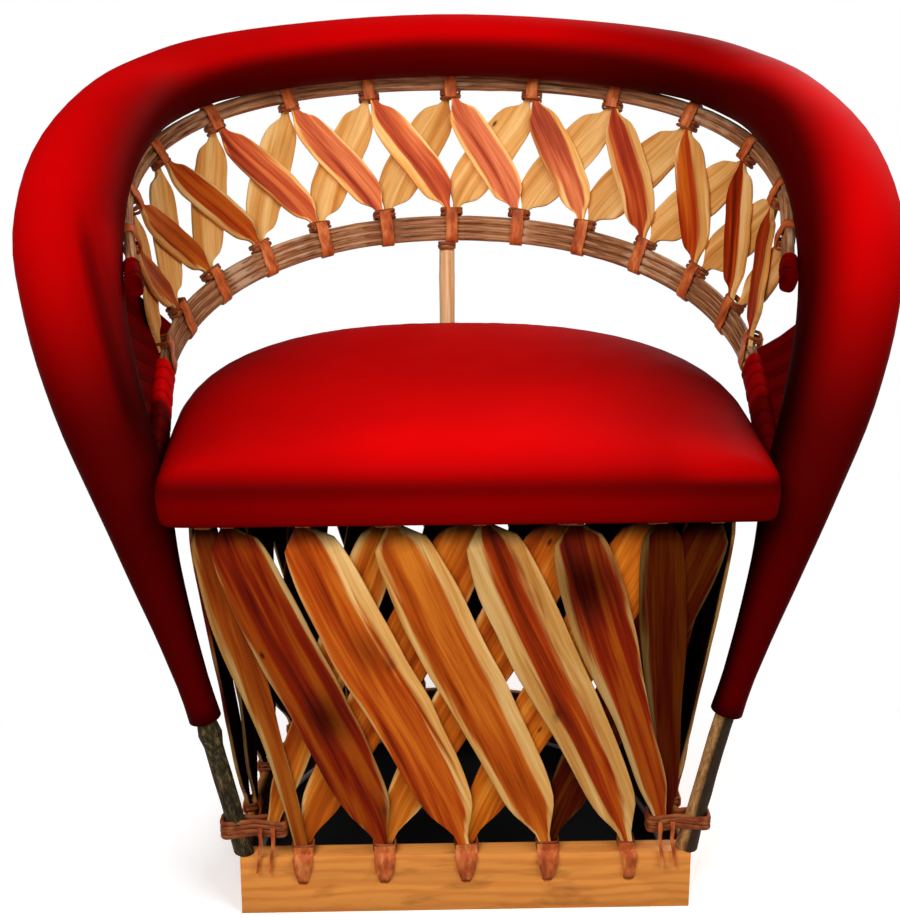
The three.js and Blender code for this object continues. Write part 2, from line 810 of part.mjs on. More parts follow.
// Bent band with a hole at each rear tie
function bandBody() {
  const rings = [];
  const steps = 2 * bowSteps;
  for (let step = 0; step <= steps; step += 1) {
    const at = bandCurve.getPointAt(step / steps);
    const tangent = bandCurve.getTangentAt(step / steps);
    const side = new THREE.Vector3(tangent.y, -tangent.x, 0).normalize().multiplyScalar(bandThickness / 2);
    const low = new THREE.Vector3(0, 0, -bandHeight);
    rings.push([
      at.clone().add(side),
      at.clone().sub(side),
      at.clone().sub(side).add(low),
      at.clone().add(side).add(low),
    ]);
  }
  return loft(rings);
}
const rearTies = Array.from({ length: rearPairs }, (_, pair) => pair - (rearPairs - 1) / 2);
const bandHoleDepth = bandHoleDrop + bandBar.fit + strapThickness / 2;
const bandCutters = rearTies.map((tie) => {
  const frame = uprightFrame(tieFrame(rearWall, tie, false), false);
  const hole = polygon(0, -bandHoleDepth, boardHoleRadius, ringSides);
  return prism(hole, [], frame, ['t', 'd', 'n'], -bandThickness, bandThickness);
});
add('base_back_band', drilled(bandBody(), bandCutters), 'sapling');

// Seat ring, board and padded cover
function ringBody() {
  const outline = seatOutline(ringInset);
  const rings = outline.map(([x, y], index) => {
    const before = outline[(index + outline.length - 1) % outline.length];
    const after = outline[(index + 1) % outline.length];
    const side = new THREE.Vector3(after[1] - before[1], before[0] - after[0], 0).normalize();
    return circle(new THREE.Vector3(x, y, ringHeight), side, boardFrame.d, ringRadius, ringSides);
  });
  return loft(rings, true);
}
add('seat_ring', ringBody(), 'sapling');

const seatBoardOutline = seatOutline(skirtThickness + rest);
const seatBoardFrame = { ...boardFrame, at: new THREE.Vector3(0, 0, skirtHeight + seatBoardRise) };
const seatPlate = prism(seatBoardOutline, [], seatBoardFrame, ['t', 'n', 'd'], 0, seatBoardThickness);
add('seat_board', seatPlate, 'seatBoard');

// Padded cover: a hollow under it for the board, a hanging skirt and a crowned top
function cushionBody() {
  const recess = seatBoardRise + seatBoardThickness + rest;
  const raised = (outline, rise) => outline.map(([x, y]) => new THREE.Vector3(x, y, skirtHeight + rise));
  const shrunk = (share) => seatOutline(0).map(([x, y]) => [
    x * (1 - share),
    seatSideY + (y - seatSideY) * (1 - share),
  ]);
  const innermost = crownShares.at(-1)[0];
  return loft([
    raised(shrunk(innermost), recess),
    raised(seatOutline(skirtThickness), recess),
    raised(seatOutline(skirtThickness), 0),
    ...skirtShares.map(([inward, up]) => raised(seatOutline(skirtTuck * inward), skirtDrop * up)),
    ...crownShares.map(([inward, up]) => raised(shrunk(inward), skirtDrop + seatCrown * up)),
  ]);
}
add('seat_cushion', cushionBody(), 'cloth');

// Saplings of the two hoops, laid side by side up the lattice
function strandBody(lattice, curve, pitch, top, strand, strands) {
  const length = curve.getLength();
  const reach = length / 2 / pitch;
  const lift = (strand - (strands - 1) / 2) * strandStep;
  return tube(strandRadius, strandSides, strandSteps, (share) => {
    const tie = (2 * share - 1) * reach;
    const held = THREE.MathUtils.clamp(tie, -(backTies - 1) / 2, (backTies - 1) / 2);
    const { d } = tieFrame(lattice, held, top);
    const tangent = curve.getTangentAt(share);
    const along = d.addScaledVector(tangent, -d.dot(tangent)).normalize();
    const at = curve.getPointAt(share).addScaledVector(along, lift);
    return { at, n: tangent.cross(along).normalize(), d: along };
  });
}
for (let strand = 0; strand < upperStrands; strand += 1) {
  const geometry = strandBody(backWall, upperCurve, upperPitch, true, strand, upperStrands);
  add(`upper_hoop_${strand + 1}`, geometry, 'sapling');
}
for (let strand = 0; strand < lowerStrands; strand += 1) {
  const geometry = strandBody(backWall, lowerCurve, lowerPitch, false, strand, lowerStrands);
  add(`lower_hoop_${strand + 1}`, geometry, 'sapling');
}

// Strut from the band up to the middle tie of the lower hoop
const strutTie = tieFrame(backWall, 0, false);
const strutReach = lowerBar.far + hoopFit + strapThickness;
const strutDrop = strutReach * strutTie.d.z + lowerBar.halfN * Math.abs(strutTie.n.z);
const strutTop = lowerBackHeight - strutDrop - hoopFit;
const strutFootY = baseBackY + bandThickness / 2 + strutRadius * flatShare + rest;
const strutFrom = new THREE.Vector3(strutOffset, strutFootY, boardHoleRadius);
const strutTo = new THREE.Vector3(strutOffset, lowerBackY, strutTop);
const strutSide = new THREE.Vector3(1, 0, 0);
add('back_strut', loft([strutFrom, strutTo].map((at) => (
  circle(at, strutSide, boardFrame.n, strutRadius, poleSides)
))), 'pine');

// Front splints
const atCorner = ({ lowerTie }) => Math.abs(lowerTie) === cornerShare;
function frontSplint([lowerTie, upperTie, wide, belly], out, options = {}) {
  const ends = atCorner({ lowerTie }) ? cornerEnds : baseEnds;
  const halfWidth = frontSplintHalfWidth * wide;
  return makeSplint([lowerTie, upperTie], halfWidth, out, { ...ends, belly, ...options });
}
const outerSplints = outerSplintShares.map((row) => frontSplint(row, true));
const innerSplints = innerSplintShares.map((row) => frontSplint(row, false));
const middleSplint = frontSplint(middleSplintShares, true, {
  lowerOffset: 0,
  upperOffset: 0,
  thickness: middleThickness,
});
const frontSplints = [...outerSplints, ...innerSplints, middleSplint];
const meeting = (splints, tie, top) => splints.filter((splint) => (
  (top ? splint.upperTie : splint.lowerTie) === tie
));

// Each tie is carried by the first splint of its meeting in the carrying order
function frontParts(splint, carriers) {
  const parts = [splintBody(frontWall, splint)];
  const above = meeting(frontSplints, splint.upperTie, true);
  const below = meeting(frontSplints, splint.lowerTie, false);
  if (above[0] === splint) {
    parts.push(...tieBodies(frontWall, splint.upperTie, true, ringBar, carriers, above, strapWidth));
  }
  if (below.at(-1) === splint && !atCorner(splint)) {
    parts.push(...tieBodies(frontWall, splint.lowerTie, false, boardBar, carriers, below, boardStrapWidth));
  }
  return parts;
}
outerSplints.forEach((splint, index) => {
  add(`front_splint_outer_${index + 1}`, joined(frontParts(splint, 'outer')), 'cedar');
});
add('front_splint_middle', splintBody(frontWall, middleSplint), 'cedar');
innerSplints.forEach((splint, index) => {
  add(`front_splint_inner_${index + 1}`, joined(frontParts(splint, 'inner')), 'paleCedar');
});

// Lashings that hold the corner splints to the feet of the pole
function lashingBody(side) {
  const low = cornerLashHeight - lashingHeight / 2;
  const high = cornerLashHeight + lashingHeight / 2;
  const places = [low, high].map((height) => {
    const share = (height - foot.at.z) / (rimRows[0].at.z - foot.at.z);
    return foot.at.clone().lerp(rimRows[0].at, share);
  });
  const tips = frontSplints.filter((splint) => Math.sign(splint.lowerTie) === side && atCorner(splint));
  const insides = tips.flatMap((splint) => {
    const tip = splintTip(frontWall, splint, false);
    return [tip.start, tip.start + lashingHeight].map((reach) => (
      Math.abs(tip.frame.at.x + tip.shiftAt(reach)) - neckHalfWidth
    ));
  });
  const poleRoom = poleRadius + bentFit;
  const poleIn = Math.min(...places.map(({ x }) => x)) - poleRoom;
  const poleOut = Math.max(...places.map(({ x }) => x)) + poleRoom;
  const poleFront = Math.min(...places.map(({ y }) => y)) - poleRoom;
  const poleBack = Math.max(...places.map(({ y }) => y)) + poleRoom;
  const tipIn = Math.min(...insides) - lashingRoom;
  const ring = (grown) => [
    [tipIn - grown, poleFront + lashingStep - grown],
    [poleIn - lashingRoom, poleFront - grown],
    [poleOut + grown, poleFront - grown],
    [poleOut + grown, poleBack + grown],
    [poleIn - lashingRoom, poleBack + grown],
    [tipIn - grown, poleBack - lashingStep + grown],
  ].map(([x, y]) => [side * x, y]);
  return prism(ring(strapThickness), [ring(0).reverse()], boardFrame, ['t', 'n', 'd'], low, high);
}
[-1, 1].forEach((side, index) => {
  add(`corner_lashing_${index + 1}`, lashingBody(side), 'rawhide');
});

// Side and rear splints
const lastTie = rearSpan / 2 - rearEndShare;
const rearSplints = rearTies.map((tie) => [
  makeSplint([tie, Math.max(tie - rearLean, -lastTie)], rearSplintHalfWidth, true, baseEnds),
  makeSplint([tie, Math.min(tie + rearLean, lastTie)], rearSplintHalfWidth, false, baseEnds),
]);
rearSplints.forEach((pair, index) => {
  const [outer] = pair;
  const parts = pair.map((splint) => splintBody(rearWall, splint));
  const near = meeting(rearSplints.flat(), outer.upperTie, true);
  parts.push(...tieBodies(rearWall, outer.lowerTie, false, bandBar, 'both', pair, boardStrapWidth));
  parts.push(...tieBodies(rearWall, outer.upperTie, true, ringBar, 'outer', near, strapWidth));
  add(`rear_splint_pair_${index + 1}`, joined(parts), 'cedar');
});

// Back splints
const backHalf = (backTies - 1) / 2;
const leftwardSplint = (tie) => makeSplint([tie + 1, tie], backSplintHalfWidth, false, backEnds);
const rightwardSplint = (tie) => makeSplint([tie, tie + 1], backSplintHalfWidth, true, backEnds);
for (let index = 0; index < backTies - 1; index += 1) {
  const tie = index - backHalf;
  const leftward = leftwardSplint(tie);
  const rightward = rightwardSplint(tie);
  const upperPair = [leftward, rightwardSplint(tie - 1)];
  const lowerPair = [rightward, leftwardSplint(tie - 1)];
  const leftwardParts = [splintBody(backWall, leftward)];
  leftwardParts.push(...tieBodies(backWall, tie, true, upperBar, 'inner', upperPair, strapWidth));
  const rightwardParts = [splintBody(backWall, rightward)];
  rightwardParts.push(...tieBodies(backWall, tie, false, lowerBar, 'outer', lowerPair, strapWidth));
  if (index === backTies - 2) {
    leftwardParts.push(...tieBodies(backWall, tie + 1, false, lowerBar, 'inner', [leftward], strapWidth));
    rightwardParts.push(...tieBodies(backWall, tie + 1, true, upperBar, 'outer', [rightward], strapWidth));
  }
  add(`back_splint_front_${index + 1}`, joined(leftwardParts), 'cedar');
  add(`back_splint_rear_${index + 1}`, joined(rightwardParts), 'paleCedar');
}

// The origin lies under the middle of the whole chair, on the floor
const box = new THREE.Box3().setFromObject(chair);
const middle = box.getCenter(new THREE.Vector3());
chair.position.set(-middle.x, -middle.y, -box.min.z);
chair.updateMatrixWorld(true);

export default chair;
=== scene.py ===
import bpy
from bisect import bisect_right
from math import atan2, copysign, cos, pi, radians, sin, sqrt
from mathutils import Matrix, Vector, noise


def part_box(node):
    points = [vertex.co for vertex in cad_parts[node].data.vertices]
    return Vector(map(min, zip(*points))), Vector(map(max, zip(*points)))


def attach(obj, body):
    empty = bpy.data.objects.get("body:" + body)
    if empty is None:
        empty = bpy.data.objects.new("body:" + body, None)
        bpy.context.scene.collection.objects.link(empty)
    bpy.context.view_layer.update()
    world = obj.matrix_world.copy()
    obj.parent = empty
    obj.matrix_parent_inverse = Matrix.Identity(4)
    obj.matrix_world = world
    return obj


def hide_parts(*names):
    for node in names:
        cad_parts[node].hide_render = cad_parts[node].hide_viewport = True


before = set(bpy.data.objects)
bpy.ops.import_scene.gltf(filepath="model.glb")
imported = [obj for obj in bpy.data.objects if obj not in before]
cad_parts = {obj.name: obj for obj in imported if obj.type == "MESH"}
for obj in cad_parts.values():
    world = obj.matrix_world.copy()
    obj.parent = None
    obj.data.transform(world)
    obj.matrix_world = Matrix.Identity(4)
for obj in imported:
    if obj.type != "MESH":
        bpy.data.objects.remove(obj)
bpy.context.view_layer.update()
bpy.context.scene.view_settings.view_transform = "Standard"

# Camera: it stands in front of the chair and looks down on the seat, as the
# photograph does. Metres; the sitter faces -Y.
bpy.ops.object.camera_add(location=(-0.0593, -1.7387, 0.9725), rotation=(radians(70.3), 0, radians(-1.7)))
camera = bpy.context.object
camera.name = "photo_camera"
camera.data.lens = 76.02
bpy.context.scene.camera = camera

# Studio: a wide key light high on the left, a weaker one on the right, one behind
# the back, a faint low one in front, a pale floor and a pale world.
for lamp_name, place, size, power in (
    ("key_light", (-1.1, -2.3, 2.5), 1.6, 66),
    ("fill_light", (1.7, -2.0, 1.9), 1.8, 34),
    ("back_light", (1.3, 2.1, 1.7), 1.6, 50),
    ("low_light", (-0.3, -2.6, 0.55), 1.6, 6),
):
    bpy.ops.object.light_add(type="AREA", location=place)
    lamp = bpy.context.object
    lamp.name = lamp_name
    lamp.data.size = size
    lamp.data.energy = power
    lamp.rotation_euler = (Vector((0, 0, 0.4)) - Vector(place)).to_track_quat("-Z", "Y").to_euler()


def node_material(name):
    """A material with an empty node tree and a way to add and join its nodes."""
    material = bpy.data.materials.new(name)
    material.use_nodes = True
    return material, node_adder(material.node_tree)


def node_adder(tree):
    tree.nodes.clear()

    def add(kind, inputs=None, **settings):
        node = tree.nodes.new("ShaderNode" + kind)
        for key, value in settings.items():
            setattr(node, key, value)
        for key, value in (inputs or {}).items():
            if isinstance(value, bpy.types.NodeSocket):
                tree.links.new(value, node.inputs[key])
            else:
                node.inputs[key].default_value = value
        return node

    return add


def calc(add, operation, *values):
    """One sum on numbers or sockets."""
    return add("Math", dict(enumerate(values)), operation=operation).outputs[0]


def ranged(add, value, low, high, start=0.0, stop=1.0):
    """Carry a value from one range to another and hold it at the ends."""
    inputs = {"Value": value, "From Min": low, "From Max": high, "To Min": start, "To Max": stop}
    return add("MapRange", inputs).outputs["Result"]


def blend(add, share, first, second):
    """Blend two colours."""
    return add("Mix", {"Factor": share, "A": first, "B": second}, data_type="RGBA").outputs["Result"]


world = bpy.data.worlds.new("studio_world")
bpy.context.scene.world = world
world.use_nodes = True
add = node_adder(world.node_tree)
path = add("LightPath")
seen = calc(add, "MAXIMUM", path.outputs["Is Camera Ray"], path.outputs["Is Transmission Ray"])
sky = add("Background", {"Color": (1, 1, 1, 1), "Strength": ranged(add, seen, 0, 1, 0.16, 1.0)})
add("OutputWorld", {"Surface": sky.outputs[0]})

# Floor: a plain pale sheet that keeps the chair's shadow. Inside the base, where the
# drum shuts the light out, its colour is painted nearly black as painted shadow.
DRUM_HALF_WIDTH, DRUM_DEPTH, DRUM_MIDDLE, DRUM_FRONT, DRUM_ROUNDING = 0.197, 0.285, 0.170, 0.225, 2.4
bpy.ops.mesh.primitive_plane_add(size=14, location=(0, 0, 0))
floor = bpy.context.object
floor.name = "studio_floor"
floor_finish, add = node_material("pale_floor")
path = add("LightPath")
seen = calc(add, "MAXIMUM", path.outputs["Is Camera Ray"], path.outputs["Is Glossy Ray"])
ground = add("SeparateXYZ", {0: add("TexCoord").outputs["Object"]})
across = calc(add, "ABSOLUTE", calc(add, "DIVIDE", ground.outputs["X"], DRUM_HALF_WIDTH))
behind = calc(add, "MULTIPLY_ADD", ground.outputs["Y"], 1 / DRUM_DEPTH, DRUM_MIDDLE / DRUM_DEPTH)
behind = calc(add, "MAXIMUM", behind, 0.0)
across, behind = (calc(add, "POWER", reach, DRUM_ROUNDING) for reach in (across, behind))
round_base = calc(add, "POWER", calc(add, "ADD", across, behind), 1 / DRUM_ROUNDING)
away = calc(add, "MAXIMUM", round_base, calc(add, "MULTIPLY", ground.outputs["Y"], -1 / DRUM_FRONT))
# Painted shadow: the floor colour falls to nearly black inside the drum's outline.
pale = blend(add, ranged(add, away, 0.955, 0.985), (0.02, 0.02, 0.02, 1), (1.5, 1.5, 1.5, 1))
lit = add("BsdfDiffuse", {"Color": blend(add, seen, (0.10, 0.10, 0.10, 1), pale)})
glow = add("Emission", {"Color": (1, 1, 1, 1), "Strength": 1.0})
share = calc(add, "MULTIPLY", seen, ranged(add, away, 1.0, 2.6))
mixed = add("MixShader", {0: share, 1: lit.outputs[0], 2: glow.outputs[0]})
add("OutputMaterial", {"Surface": mixed.outputs[0]})
floor.data.materials.append(floor_finish)

# Base plank: a sawn pine board standing on its edge, varnished and worn along its
# edges. The ties of the front splints pass through its five holes.
DEPTH_SHIFT = 0.230
BOARD_LENGTH, BOARD_HEIGHT, BOARD_THICKNESS = 0.403, 0.057, 0.020
FRONT_LOWER_PITCH = BOARD_LENGTH * 0.1811
BOARD_HOLE_HEIGHT, BOARD_HOLE_RADIUS = 0.0314, 0.0046


def alone(piece):
    bpy.ops.object.select_all(action="DESELECT")
    piece.select_set(True)
    bpy.context.view_layer.objects.active = piece


def modify(piece, kind, **settings):
    """Add a modifier, set it and apply it."""
    alone(piece)
    modifier = piece.modifiers.new(kind.lower(), kind)
    for key, value in settings.items():
        setattr(modifier, key, value)
    bpy.ops.object.modifier_apply(modifier=modifier.name)


def bevel(piece, width, segments, angle=60):
    """Round the edges that turn by more than an angle."""
    modify(piece, "BEVEL", width=width, segments=segments, limit_method="ANGLE", angle_limit=radians(angle))


def place(piece, scale=(1, 1, 1)):
    """Give a piece its scale and keep its place in its mesh."""
    alone(piece)
    piece.scale = scale
    bpy.ops.object.transform_apply(location=True, rotation=True, scale=True)


def fix(piece, name, finish, nodes=(), angle=40):
    """Name, finish and fasten one piece of the chair, its faces turned outwards."""
    alone(piece)
    bpy.ops.object.mode_set(mode="EDIT")
    bpy.ops.mesh.select_all(action="SELECT")
    bpy.ops.mesh.normals_make_consistent(inside=False)
    bpy.ops.object.mode_set(mode="OBJECT")
    piece.name = name
    piece.data.name = name
    piece.data.materials.clear()
    piece.data.materials.append(finish)
    bpy.ops.object.shade_smooth_by_angle(angle=radians(angle))
    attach(piece, "root")
    if nodes:
        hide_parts(*nodes)


def drawn_out(add, where, scale, detail, roughness=0.5, distortion=0.0):
    """Noise that is drawn out along a pattern's own directions."""
    mapped = add("Mapping", {"Vector": where, "Scale": scale}).outputs[0]
    inputs = {"Vector": mapped, "Scale": 1.0, "Detail": detail, "Roughness": roughness, "Distortion": distortion}
    return add("TexNoise", inputs).outputs["Fac"]


def tones(add, value, first, last, middle=None):
    """A ramp from one colour to another, each given with its place, and maybe through a third."""
    ramp = add("ValToRGB", {"Fac": value})
    for element, (at, colour) in zip(ramp.color_ramp.elements, (first, last)):
        element.color, element.position = (*colour, 1), at
    if middle:
        ramp.color_ramp.elements.new(middle[0]).color = (*middle[1], 1)
    return ramp.outputs["Color"]


def dimmed(add, colour, share):
    """A colour made darker or brighter."""
    return add("VectorMath", {0: colour, "Scale": share}, operation="SCALE").outputs[0]


def surface(add, colour, gloss, relief, shine=0.15):
    """The shader of a finish. Gloss is a pattern with its smoothest and dullest
    roughness, and relief a pattern with its strength and its depth.
    """
    bump = add("Bump", dict(zip(("Height", "Strength", "Distance"), relief)))
    shader = add("BsdfPrincipled", {
        "Base Color": colour,
        "Roughness": ranged(add, gloss[0], 0, 1, *gloss[1:]),
        "Normal": bump.outputs[0],
        "Specular IOR Level": shine,
    })
    add("OutputMaterial", {"Surface": shader.outputs[0]})


pine, add = node_material("varnished_pine")
spot = add("TexCoord").outputs["Object"]
turned = add("Mapping", {"Vector": spot, "Location": (0.1, 0.05, 0.02), "Scale": (2.6, 12, 12)})
wave = {"Scale": 2.3, "Distortion": 9.0, "Detail": 4, "Detail Scale": 0.9, "Detail Roughness": 0.6}
rings = add("TexWave", {"Vector": turned.outputs[0], **wave}, bands_direction="Z").outputs["Fac"]
fine = drawn_out(add, spot, (9, 160, 160), 5)
stain = drawn_out(add, spot, (18, 60, 60), 4)
bands = tones(add, rings, (0.30, (0.92, 0.34, 0.060)), (1.0, (0.70, 0.20, 0.028)))
streaked = blend(add, fine, bands, (0.84, 0.31, 0.065, 1))
worn = blend(add, ranged(add, stain, 0.57, 0.74, 0, 0.70), streaked, (0.36, 0.11, 0.02, 1))
# The inner face of the bent band is painted nearly black here, as painted shade inside the drum.
inside = add("Attribute", attribute_name="inside").outputs["Fac"]
inside_shaded = dimmed(add, worn, ranged(add, inside, 0, 1, 1.0, 0.06))
surface(add, inside_shaded, (fine, 0.36, 0.58), (fine, 0.35, 0.0012))

bpy.ops.mesh.primitive_cube_add(size=1, location=(0, BOARD_THICKNESS / 2 - DEPTH_SHIFT, BOARD_HEIGHT / 2))
plank = bpy.context.object
place(plank, (BOARD_LENGTH, BOARD_THICKNESS, BOARD_HEIGHT))
for tie in (-2, -1, 0, 1, 2):
    bpy.ops.mesh.primitive_cylinder_add(
        vertices=24,
        radius=BOARD_HOLE_RADIUS,
        depth=0.05,
        location=(tie * FRONT_LOWER_PITCH, BOARD_THICKNESS / 2 - DEPTH_SHIFT, BOARD_HOLE_HEIGHT),
        rotation=(radians(90), 0, 0),
    )
    drill = bpy.context.object
    modify(plank, "BOOLEAN", object=drill, operation="DIFFERENCE", solver="EXACT")
    bpy.data.objects.remove(drill)
bevel(plank, 0.0016, 3)
fix(plank, "base_plank_board", pine, ["base_front_board"])


# Bent band: a strip of green wood bent round the back of the base, behind the
# plank. The rear splints are tied through its holes.
class Course:
    """A smooth line through points, measured along its length."""

    def __init__(self, points):
        self.points = [Vector(point) for point in points]
        self.marks = [self.spot(step / 200) for step in range(201)]
        self.lengths = [0.0]
        for before, after in zip(self.marks, self.marks[1:]):
            self.lengths.append(self.lengths[-1] + (after - before).length)
        self.length = self.lengths[-1]

    def spot(self, share):
        points = self.points
        spans = len(points) - 1
        span = min(int(share * spans), spans - 1)
        weight = share * spans - span
        near, far = points[span], points[span + 1]
        before = points[span - 1] if span else near * 2 - far
        after = points[span + 2] if span + 2 <= spans else far * 2 - near
        sides = (before, near), (near, far), (far, after)
        first, middle, last = (max(sqrt((end - start).length), 0.0001) for start, end in sides)
        leave = ((near - before) / first - (far - before) / (first + middle) + (far - near) / middle) * middle
        reach = ((far - near) / middle - (after - near) / (middle + last) + (after - far) / last) * middle
        square, cube = weight * weight, weight ** 3
        return (
            near * (2 * cube - 3 * square + 1)
            + leave * (cube - 2 * square + weight)
            + far * (3 * square - 2 * cube)
            + reach * (cube - square)
        )

    def share_at(self, share):
        reach = share * self.length
        step = min(max(bisect_right(self.lengths, reach) - 1, 0), 199)
        part = (reach - self.lengths[step]) / (self.lengths[step + 1] - self.lengths[step])
        return (step + part) / 200

    def at(self, share):
        """A point at a share of the length, carried straight on past the ends."""
        held = min(max(share, 0.0), 1.0)
        point = self.spot(self.share_at(held))
        if held != share:
            point = point + self.heading(held) * ((share - held) * self.length)
        return point

    def heading(self, share):
        middle = self.share_at(share)
        low, high = max(middle - 0.0001, 0.0), min(middle + 0.0001, 1.0)
        return (self.spot(high) - self.spot(low)).normalized()


def bow(half_width, side_y, back_y, fullness):
    """Half of a rounded-square oval, from one side round the back."""
    points = []
    for step in range(1, 24):
        angle = pi - pi * step / 24
        across = copysign(abs(cos(angle)) ** (2 / fullness), cos(angle))
        points.append((half_width * across, side_y + (back_y - side_y) * sin(angle) ** (2 / fullness)))
    return points


def horseshoe(front_half_width, front_y, half_width, side_y, back_y, fullness, height):
    plan = [(-front_half_width, front_y), (-half_width, side_y)]
    plan += bow(half_width, side_y, back_y, fullness)
    plan += [(half_width, side_y), (front_half_width, front_y)]
    return Course([(x, y - DEPTH_SHIFT, height(y)) for x, y in plan])


def pick(piece, wanted, kind="edges", mode="EDGE"):
    """Open a piece in edit mode with only the edges or faces that pass a test selected."""
    if bpy.context.mode == "EDIT_MESH":
        bpy.ops.object.mode_set(mode="OBJECT")
    alone(piece)
    bpy.ops.object.mode_set(mode="EDIT")
    bpy.ops.mesh.select_mode(type=mode)
    bpy.ops.mesh.select_all(action="DESELECT")
    bpy.ops.object.mode_set(mode="OBJECT")
    for part in getattr(piece.data, kind):
        part.select = wanted(piece.data, part)
    bpy.ops.object.mode_set(mode="EDIT")


def run(mesh, edge):
    first, second = (mesh.vertices[corner].co for corner in edge.vertices)
    return second - first


def finish_edit():
    bpy.ops.object.mode_set(mode="OBJECT")


def note_shade(piece, name, values):
    """Keep one number for each point of a piece, for its material to read."""
    layer = piece.data.attributes.new(name, "FLOAT", "POINT")
    layer.data.foreach_set("value", values)


def rough(at, seed, scale):
    return noise.noise(Vector(at) * scale + Vector((3.1, 1.7, 2.3)) * seed)


BAND_HEIGHT, BAND_THICKNESS = 0.050, 0.009
BASE_HALF_WIDTH = (BOARD_LENGTH - BAND_THICKNESS) / 2
band_course = horseshoe(
    BASE_HALF_WIDTH, BOARD_THICKNESS + 0.0003, BASE_HALF_WIDTH, 0.060, 0.345, 2.4, lambda y: BAND_HEIGHT
)
UP = Vector((0, 0, 1))

bpy.ops.mesh.primitive_cube_add(size=1, location=(0, 0, BAND_HEIGHT / 2))
band = bpy.context.object
place(band, (1, BAND_THICKNESS, BAND_HEIGHT))
pick(band, lambda mesh, edge: abs(run(mesh, edge).x) > 0.5)
bpy.ops.mesh.subdivide(number_cuts=140)
pick(band, lambda mesh, edge: abs(run(mesh, edge).z) > 0.04)
bpy.ops.mesh.subdivide(number_cuts=5)
finish_edit()
bevel(band, 0.0014, 2)
# Points on the inner face are marked for painted shade inside the drum.
inner_face = []
for vertex in band.data.vertices:
    inner_face.append(1.0 if vertex.co.y > 0.003 else 0.0)
    share = vertex.co.x + 0.5
    side = band_course.heading(share).cross(UP).normalized()
    lift = 0.0012 * rough((share * 6, 0, vertex.co.z * 8), 4, 1)
    top = band_course.at(share)
    vertex.co = Vector((top.x, top.y, vertex.co.z)) + side * (vertex.co.y + lift)
note_shade(band, "inside", inner_face)
fix(band, "bent_back_band", pine, ["base_back_band"])

# Saplings: thin unpeeled shoots with grey-brown bark. Three make the lower hoop of
# the back, two the upper one, and one is bent into the ring under the seat.


def shoot(length, radius, sides, steps):
    """A straight sapling along Z, ready to be laid on a course."""
    bpy.ops.mesh.primitive_cylinder_add(vertices=sides, radius=radius, depth=length, location=(0, 0, length / 2))
    piece = bpy.context.object
    place(piece)
    pick(piece, lambda mesh, edge: abs(run(mesh, edge).z) > length / 2)
    bpy.ops.mesh.subdivide(number_cuts=steps)
    pick(piece, lambda mesh, face: abs(face.normal.z) > 0.9, "polygons", "FACE")
    bpy.ops.mesh.inset(thickness=radius * 0.25)
    bpy.ops.mesh.poke()
    finish_edit()
    return piece


def note(piece, name, values):
    """Keep one vector for each point of a piece, for its material to read."""
    layer = piece.data.attributes.new(name, "FLOAT_VECTOR", "POINT")
    layer.data.foreach_set("vector", [number for value in values for number in value])


def lay_shoot(piece, station, length, radius, seed, swell=0.05):
    """Lay a straight sapling along stations, with the bumps and nodes of its bark."""
    grain = []
    for vertex in piece.data.vertices:
        share = min(max(vertex.co.z / length, 0.0), 1.0)
        at, first, second = station(share)
        along = share * length
        angle_place = Vector((vertex.co.x, vertex.co.y, 0)) / radius
        bump = swell * rough((angle_place.x, angle_place.y, along * 22), seed, 1)
        knob = (along * 9 + seed * 0.37) % 1
        bump += swell * 1.6 * max(0.0, 1 - abs(knob - 0.5) * 26)
        wander = first * rough((0, 0, along * 5), seed, 1) + second * rough((0, 0, along * 5), seed + 5, 1)
        grain.append((angle_place.x * radius, angle_place.y * radius, along))
        vertex.co = at + (first * vertex.co.x + second * vertex.co.y) * (1 + bump) + wander * radius * 0.08
    note(piece, "grain", grain)


def grained(name):
    """A material that follows the grain of its piece."""
    material, add = node_material(name)
    return material, add, add("Attribute", attribute_name="grain").outputs["Vector"]


bark, add, grain = grained("sapling_bark")
streak = drawn_out(add, grain, (420, 420, 18), 6, 0.7)
patch = drawn_out(add, grain, (90, 90, 26), 4)
brown = tones(add, streak, (0.36, (0.10, 0.030, 0.012)), (0.66, (0.68, 0.37, 0.18)), (0.5, (0.38, 0.150, 0.058)))
skin = blend(add, ranged(add, patch, 0.55, 0.68, 0, 0.75), brown, (0.66, 0.42, 0.26, 1))
surface(add, skin, (streak, 0.40, 0.75), (streak, 0.6, 0.0015))


class Wall:
    """The surface that a lattice is woven on, ruled between a lower and an upper bar."""

    def __init__(self, lower, upper, facing=1):
        self.lower, self.upper, self.facing = lower, upper, facing

    def point(self, tie, rise):
        return self.lower(tie).lerp(self.upper(tie), rise)

    def slopes(self, tie, rise, step=0.02):
        sideways = (self.point(tie + step, rise) - self.point(tie - step, rise)) / (2 * step)
        upward = (self.point(tie, rise + step) - self.point(tie, rise - step)) / (2 * step)
        return sideways, upward, upward.cross(sideways).normalized() * self.facing

    def tie_frame(self, tie, top):
        """A tie's place, then along its bar, out of the chair, and towards its splints."""
        sideways, upward, outward = self.slopes(tie, 1 if top else 0)
        sideways.normalize()
        towards = (upward - sideways * upward.dot(sideways)).normalized() * (-1 if top else 1)
        return (self.upper if top else self.lower)(tie), sideways, outward, towards


